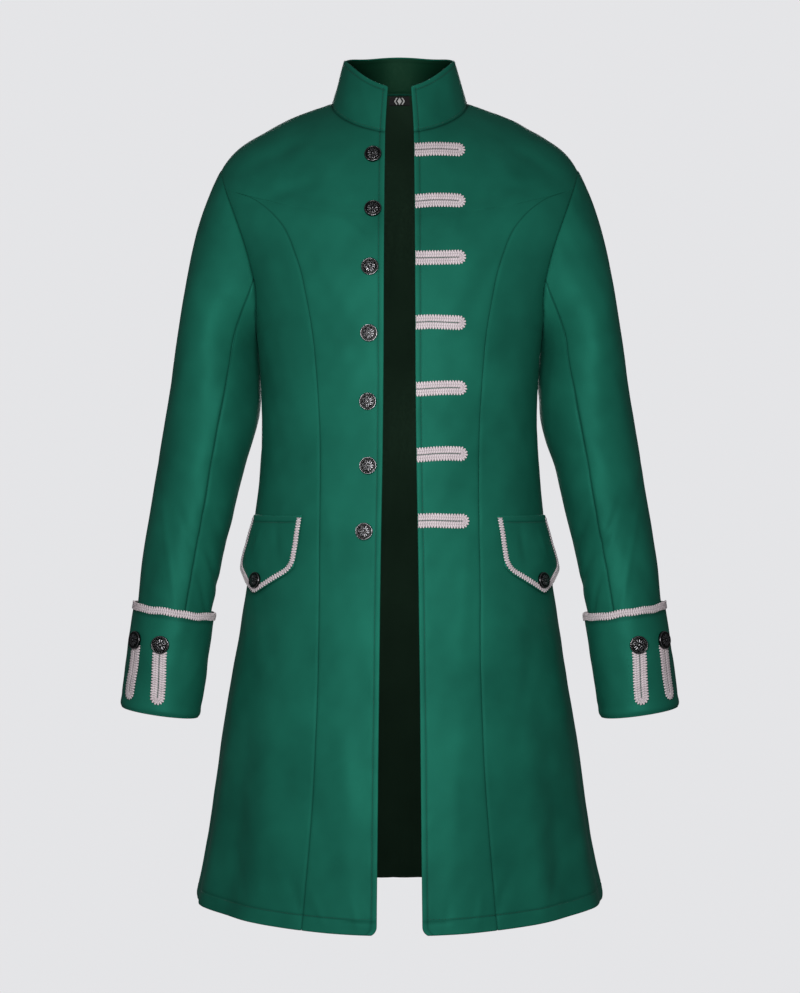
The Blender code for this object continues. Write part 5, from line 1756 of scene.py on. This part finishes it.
class FrockCoatSettings(bpy.types.PropertyGroup):
    cloth_colour: colour_setting("Cloth", "Colour of the twill", (0.0100, 0.1180, 0.0800))
    lining_colour: colour_setting("Lining", "Colour of the lining", (0.0118, 0.0275, 0.0165))
    # the collar's inside: the green cloth darkened as painted shade
    collar_inside_shade_colour: colour_setting("Collar inside shade", "Inside of the collar", (0.0030, 0.0325, 0.0158))
    braid_colour: colour_setting("Braid", "Colour of the gimp braid", (0.60, 0.53, 0.56))
    button_colour: colour_setting("Buttons", "Colour of the buttons where not rubbed", (0.024, 0.024, 0.026))
    # darker than the cloth: the thread's own colour and painted shade of its stitch holes
    thread_and_pit_shade_colour: colour_setting("Thread", "Colour of the topstitching", (0.0050, 0.0620, 0.0430))
    mesh_step: length_setting("Mesh step", "Spacing of the cloth's mesh away from its edges", 0.0055)
    twill_pitch: length_setting("Twill pitch", "Distance between two ribs of the twill", 0.0013)
    edge_inset: length_setting("Edge stitching", "Distance of the topstitching from the front edges", 0.0065)
    hem_inset: length_setting("Hem", "Height of the hem's stitching above the coat's lower edge", 0.018)
    stitch_length: length_setting("Stitch", "Length of a stitch with the gap after it", 0.0034)
    stitch_gap: length_setting("Stitch gap", "Gap between two stitches", 0.0013)
    thread_width: length_setting("Thread width", "Thickness of the sewing thread", 0.0008)
    fold_depth: FloatProperty(name="Folds", description="How deep the folds and creases are", default=1.0,
                              min=0.0, max=2.0, subtype="FACTOR")


def coat_settings():
    return bpy.context.scene.frock_coat


# ---- stage

FLOOR_HEIGHT = -1.60
FLOOR_RADIUS = 2.0
FLOOR_FADE = (1.2, 1.95)         # from its middle, where it begins to fade and where it is gone


def make_floor():
    """A round pale floor that fades into the pale surroundings."""
    sides, rings = 96, (0.0, 0.5, 0.8, 1.0)
    points, faces = [(0.0, 0.0, FLOOR_HEIGHT)], []
    for ring in rings[1:]:
        for k in range(sides):
            turn = 2 * math.pi * k / sides
            x, y = math.cos(turn) * ring * FLOOR_RADIUS, math.sin(turn) * ring * FLOOR_RADIUS
            points.append((x, y, FLOOR_HEIGHT))
    for k in range(sides):
        after = (k + 1) % sides
        faces.append(np.array((0, 1 + k, 1 + after)))
        for ring in range(len(rings) - 2):
            base = 1 + ring * sides
            faces.append(np.array((base + k, base + sides + k, base + sides + after, base + after)))
    tree, shader = new_finish("pale floor", Specular_IOR_Level=0.1)
    place = node(tree, "ShaderNodeTexCoord")
    away = node(tree, "ShaderNodeVectorMath", operation="LENGTH")
    tree.links.new(place.outputs["Object"], away.inputs[0])
    pale = mottled(tree, place.outputs["Object"], 0.6, 2.0, (0.74, 0.745, 0.76), (0.78, 0.78, 0.79))
    tree.links.new(pale, shader.inputs["Base Color"])
    tree.links.new(pale, shader.inputs["Emission Color"])
    shader.inputs["Emission Strength"].default_value = 0.42
    shader.inputs["Roughness"].default_value = 0.9
    fade = node(tree, "ShaderNodeMapRange")
    near, far = math.hypot(FLOOR_HEIGHT, FLOOR_FADE[0]), math.hypot(FLOOR_HEIGHT, FLOOR_FADE[1])
    for key, value in (("From Min", near), ("From Max", far), ("To Min", 1.0), ("To Max", 0.0)):
        fade.inputs[key].default_value = value
    tree.links.new(away.outputs["Value"], fade.inputs["Value"])
    tree.links.new(fade.outputs["Result"], shader.inputs["Alpha"])
    floor = new_object("floor", np.array(points), faces, [bpy.data.materials["pale floor"]])
    floor.visible_diffuse = False
    floor.visible_glossy = False


def make_surroundings():
    """A plain pale surround, bright to look at and dim as a light."""
    world = bpy.data.worlds.new("pale studio")
    bpy.context.scene.world = world
    world.use_nodes = True
    tree = world.node_tree
    tree.nodes.clear()
    seen = node(tree, "ShaderNodeBackground")
    seen.inputs["Color"].default_value = (0.780, 0.782, 0.800, 1.0)
    lit = node(tree, "ShaderNodeBackground")
    lit.inputs["Color"].default_value = (0.93, 0.97, 1.0, 1.0)
    lit.inputs["Strength"].default_value = 0.07
    rays = node(tree, "ShaderNodeLightPath")
    mixed = node(tree, "ShaderNodeMixShader")
    end = node(tree, "ShaderNodeOutputWorld")
    tree.links.new(rays.outputs["Is Camera Ray"], mixed.inputs[0])
    tree.links.new(lit.outputs[0], mixed.inputs[1])
    tree.links.new(seen.outputs[0], mixed.inputs[2])
    tree.links.new(mixed.outputs[0], end.inputs["Surface"])


def make_camera():
    camera = bpy.data.cameras.new("camera")
    camera.lens = 87.0
    camera.sensor_width = 36.0
    camera.clip_end = 100.0
    made = bpy.data.objects.new("camera", camera)
    made.location = (0.0006, -3.0, -0.491)
    made.rotation_euler = (math.radians(90.0), 0.0, 0.0)
    bpy.context.scene.collection.objects.link(made)
    bpy.context.scene.camera = made


Light = namedtuple("Light", "name place target size power colour")
LIGHTS = rows_of(Light,
    ("front softbox", (0.0, -1.4, -0.37), (0.0, 0.0, -0.38), (0.55, 0.55), 15.3, (1.0, 0.99, 0.97)),
    ("small high light", (-0.9, -1.7, 0.7), (0.0, 0.0, -0.3), (0.14, 0.14), 3.0, (1.0, 1.0, 1.0)),
    ("left side softbox", (-2.6, -0.9, -0.1), (0.0, 0.0, -0.5), (0.8, 2.0), 1.3, (0.95, 0.98, 1.0)),
    ("right side softbox", (2.6, -0.9, -0.1), (0.0, 0.0, -0.5), (0.8, 2.0), 1.3, (0.95, 0.98, 1.0)),
    ("back softbox", (0.0, 2.8, 0.5), (0.0, 0.0, -0.5), (1.8, 1.8), 36.0, (0.97, 0.98, 1.0)),
    ("top softbox", (0.0, -0.4, 2.2), (0.0, 0.0, -0.3), (2.0, 1.6), 1.5, (1.0, 1.0, 1.0)),
)


def make_lights():
    for row in LIGHTS:
        light = bpy.data.lights.new(row.name, "AREA")
        light.shape = "RECTANGLE"
        light.size, light.size_y = row.size
        light.energy = row.power
        light.color = row.colour
        made = bpy.data.objects.new(row.name, light)
        made.location = row.place
        made.rotation_mode = "QUATERNION"
        made.rotation_quaternion = (Vector(row.target) - Vector(row.place)).to_track_quat("-Z", "Y")
        made.visible_camera = False
        bpy.context.scene.collection.objects.link(made)


# ---- operators

def both_sides(make, name, *more):
    for side_name, side in SIDES:
        make(f"{name}_{side_name}", side, *more)


class FROCKCOAT_OT_fronts(bpy.types.Operator):
    """Make both fronts, with topstitched edges and hem"""
    bl_idname = "frock_coat.fronts"
    bl_label = "Fronts"

    def execute(self, context):
        both_sides(make_front, "front")
        return {"FINISHED"}


class FROCKCOAT_OT_side_fronts(bpy.types.Operator):
    """Make the side fronts between princess seams and side seams"""
    bl_idname = "frock_coat.side_fronts"
    bl_label = "Side Fronts"

    def execute(self, context):
        both_sides(make_side_front, "side_front")
        return {"FINISHED"}


class FROCKCOAT_OT_backs(bpy.types.Operator):
    """Make both backs, which meet at the centre back seam"""
    bl_idname = "frock_coat.backs"
    bl_label = "Backs"

    def execute(self, context):
        both_sides(make_back, "back")
        return {"FINISHED"}


class FROCKCOAT_OT_collar(bpy.types.Operator):
    """Make the standing collar with its topstitching"""
    bl_idname = "frock_coat.collar"
    bl_label = "Collar"

    def execute(self, context):
        make_collar()
        return {"FINISHED"}


class FROCKCOAT_OT_lining(bpy.types.Operator):
    """Make the lining that shows through the open front, and the label at its neck"""
    bl_idname = "frock_coat.lining"
    bl_label = "Lining and Label"

    def execute(self, context):
        make_lining()
        make_label()
        return {"FINISHED"}


class FROCKCOAT_OT_sleeves(bpy.types.Operator):
    """Make the top and under sleeves"""
    bl_idname = "frock_coat.sleeves"
    bl_label = "Sleeves"

    def execute(self, context):
        both_sides(make_sleeve, "sleeve_top", HINDARM_SEAM, SLEEVE_SIDES + FOREARM_SEAM)
        both_sides(make_sleeve, "sleeve_under", FOREARM_SEAM, HINDARM_SEAM)
        return {"FINISHED"}


class FROCKCOAT_OT_cuffs(bpy.types.Operator):
    """Make the turned-back cuffs"""
    bl_idname = "frock_coat.cuffs"
    bl_label = "Cuffs"

    def execute(self, context):
        both_sides(make_cuff, "cuff")
        return {"FINISHED"}


class FROCKCOAT_OT_flaps(bpy.types.Operator):
    """Make the pointed pocket flaps"""
    bl_idname = "frock_coat.flaps"
    bl_label = "Pocket Flaps"

    def execute(self, context):
        both_sides(make_flap, "flap")
        return {"FINISHED"}


class FROCKCOAT_OT_braids(bpy.types.Operator):
    """Make all gimp braid: on the left front, round and down the cuffs, and along the flaps"""
    bl_idname = "frock_coat.braids"
    bl_label = "Braid"

    def execute(self, context):
        for number, row in enumerate(FASTENINGS, 1):
            make_front_braid(number, row)
        both_sides(make_cuff_edge_braid, "cuff_edge_braid")
        both_sides(make_flap_braid, "flap_braid")
        for side_name, side in SIDES:
            for number, tab in enumerate(CUFF_TABS, 1):
                make_cuff_tab(f"cuff_tab_{side_name}_{number}", side, tab)
        return {"FINISHED"}


class FROCKCOAT_OT_buttons(bpy.types.Operator):
    """Make all shank buttons: on the right front, the cuffs and the flaps"""
    bl_idname = "frock_coat.buttons"
    bl_label = "Buttons"

    def execute(self, context):
        for number, row in enumerate(FASTENINGS, 1):
            make_front_button(number, row)
        both_sides(make_flap_button, "flap_button")
        for side_name, side in SIDES:
            for number, tab in enumerate(CUFF_TABS, 1):
                make_cuff_button(f"cuff_button_{side_name}_{number}", side, tab)
        return {"FINISHED"}


# Each sheet's flat cut in metres with its seam allowances, the area of its cloth, and the trim sewn on it
Cut = namedtuple("Cut", "piece width length area trim")
CUTS = rows_of(Cut,
    ("front", 0.235, 1.090, 0.114, "front_{side}_stitching"),
    ("side_front", 0.230, 0.930, 0.172, "side_front_{side}_stitching"),
    ("back", 0.330, 1.060, 0.270, "back_{side}_stitching"),
    ("sleeve_top", 0.250, 0.700, 0.152, ""),
    ("sleeve_under", 0.160, 0.640, 0.071, ""),
    ("cuff", 0.350, 0.150, 0.045, "cuff_edge_braid_{side}_gimp cuff_tab_{side}_1_gimp cuff_tab_{side}_2_gimp "
        "cuff_button_{side}_1_metal cuff_button_{side}_2_metal"),
    ("flap", 0.125, 0.110, 0.0098, "flap_{side}_stitching flap_braid_{side}_gimp flap_button_{side}_metal"),
)


class FROCKCOAT_OT_declare_cloth(bpy.types.Operator):
    """Go through every sheet of cloth in the table of flat cuts and gather the trim sewn on it; nothing is
    kept
    """
    bl_idname = "frock_coat.declare_cloth"
    bl_label = "State Cloth Cuts"

    def execute(self, context):
        for cut in CUTS:
            for side_name, side in SIDES:
                trim = cut.trim.format(side=side_name).split()
                if cut.piece == "front":
                    kind = "front_braid_{}_gimp" if side > 0 else "front_button_{}_metal"
                    trim += [kind.format(number) for number in range(1, len(FASTENINGS) + 1)]
        return {"FINISHED"}


class FROCKCOAT_OT_stage(bpy.types.Operator):
    """Set up a pale floor and surround, soft lights and the camera"""
    bl_idname = "frock_coat.stage"
    bl_label = "Studio"

    def execute(self, context):
        context.scene.view_settings.view_transform = "Standard"
        make_surroundings()
        make_floor()
        make_lights()
        make_camera()
        return {"FINISHED"}


STEPS = (FROCKCOAT_OT_fronts, FROCKCOAT_OT_side_fronts, FROCKCOAT_OT_backs, FROCKCOAT_OT_collar,
         FROCKCOAT_OT_lining, FROCKCOAT_OT_sleeves, FROCKCOAT_OT_cuffs, FROCKCOAT_OT_flaps,
         FROCKCOAT_OT_braids, FROCKCOAT_OT_buttons, FROCKCOAT_OT_declare_cloth, FROCKCOAT_OT_stage)


class FROCKCOAT_PT_panel(bpy.types.Panel):
    """Sizes and colours of the coat, and its pieces in the order in which they are made"""
    bl_idname = "FROCKCOAT_PT_panel"
    bl_label = "Frock Coat"
    bl_space_type = "VIEW_3D"
    bl_region_type = "UI"
    bl_category = "Frock Coat"

    def draw(self, context):
        settings = context.scene.frock_coat
        for key in settings.bl_rna.properties.keys():
            if key not in ("rna_type", "name"):
                self.layout.prop(settings, key)
        for step in STEPS:
            self.layout.operator(step.bl_idname)


CLASSES = (FrockCoatSettings, *STEPS, FROCKCOAT_PT_panel)


def register():
    for each in CLASSES:
        bpy.utils.register_class(each)
    bpy.types.Scene.frock_coat = PointerProperty(type=FrockCoatSettings)


def unregister():
    del bpy.types.Scene.frock_coat
    for each in reversed(CLASSES):
        bpy.utils.unregister_class(each)


def main():
    register()
    for step in STEPS:
        group, name = step.bl_idname.split(".")
        getattr(getattr(bpy.ops, group), name)()


if __name__ == "__main__":
    main()
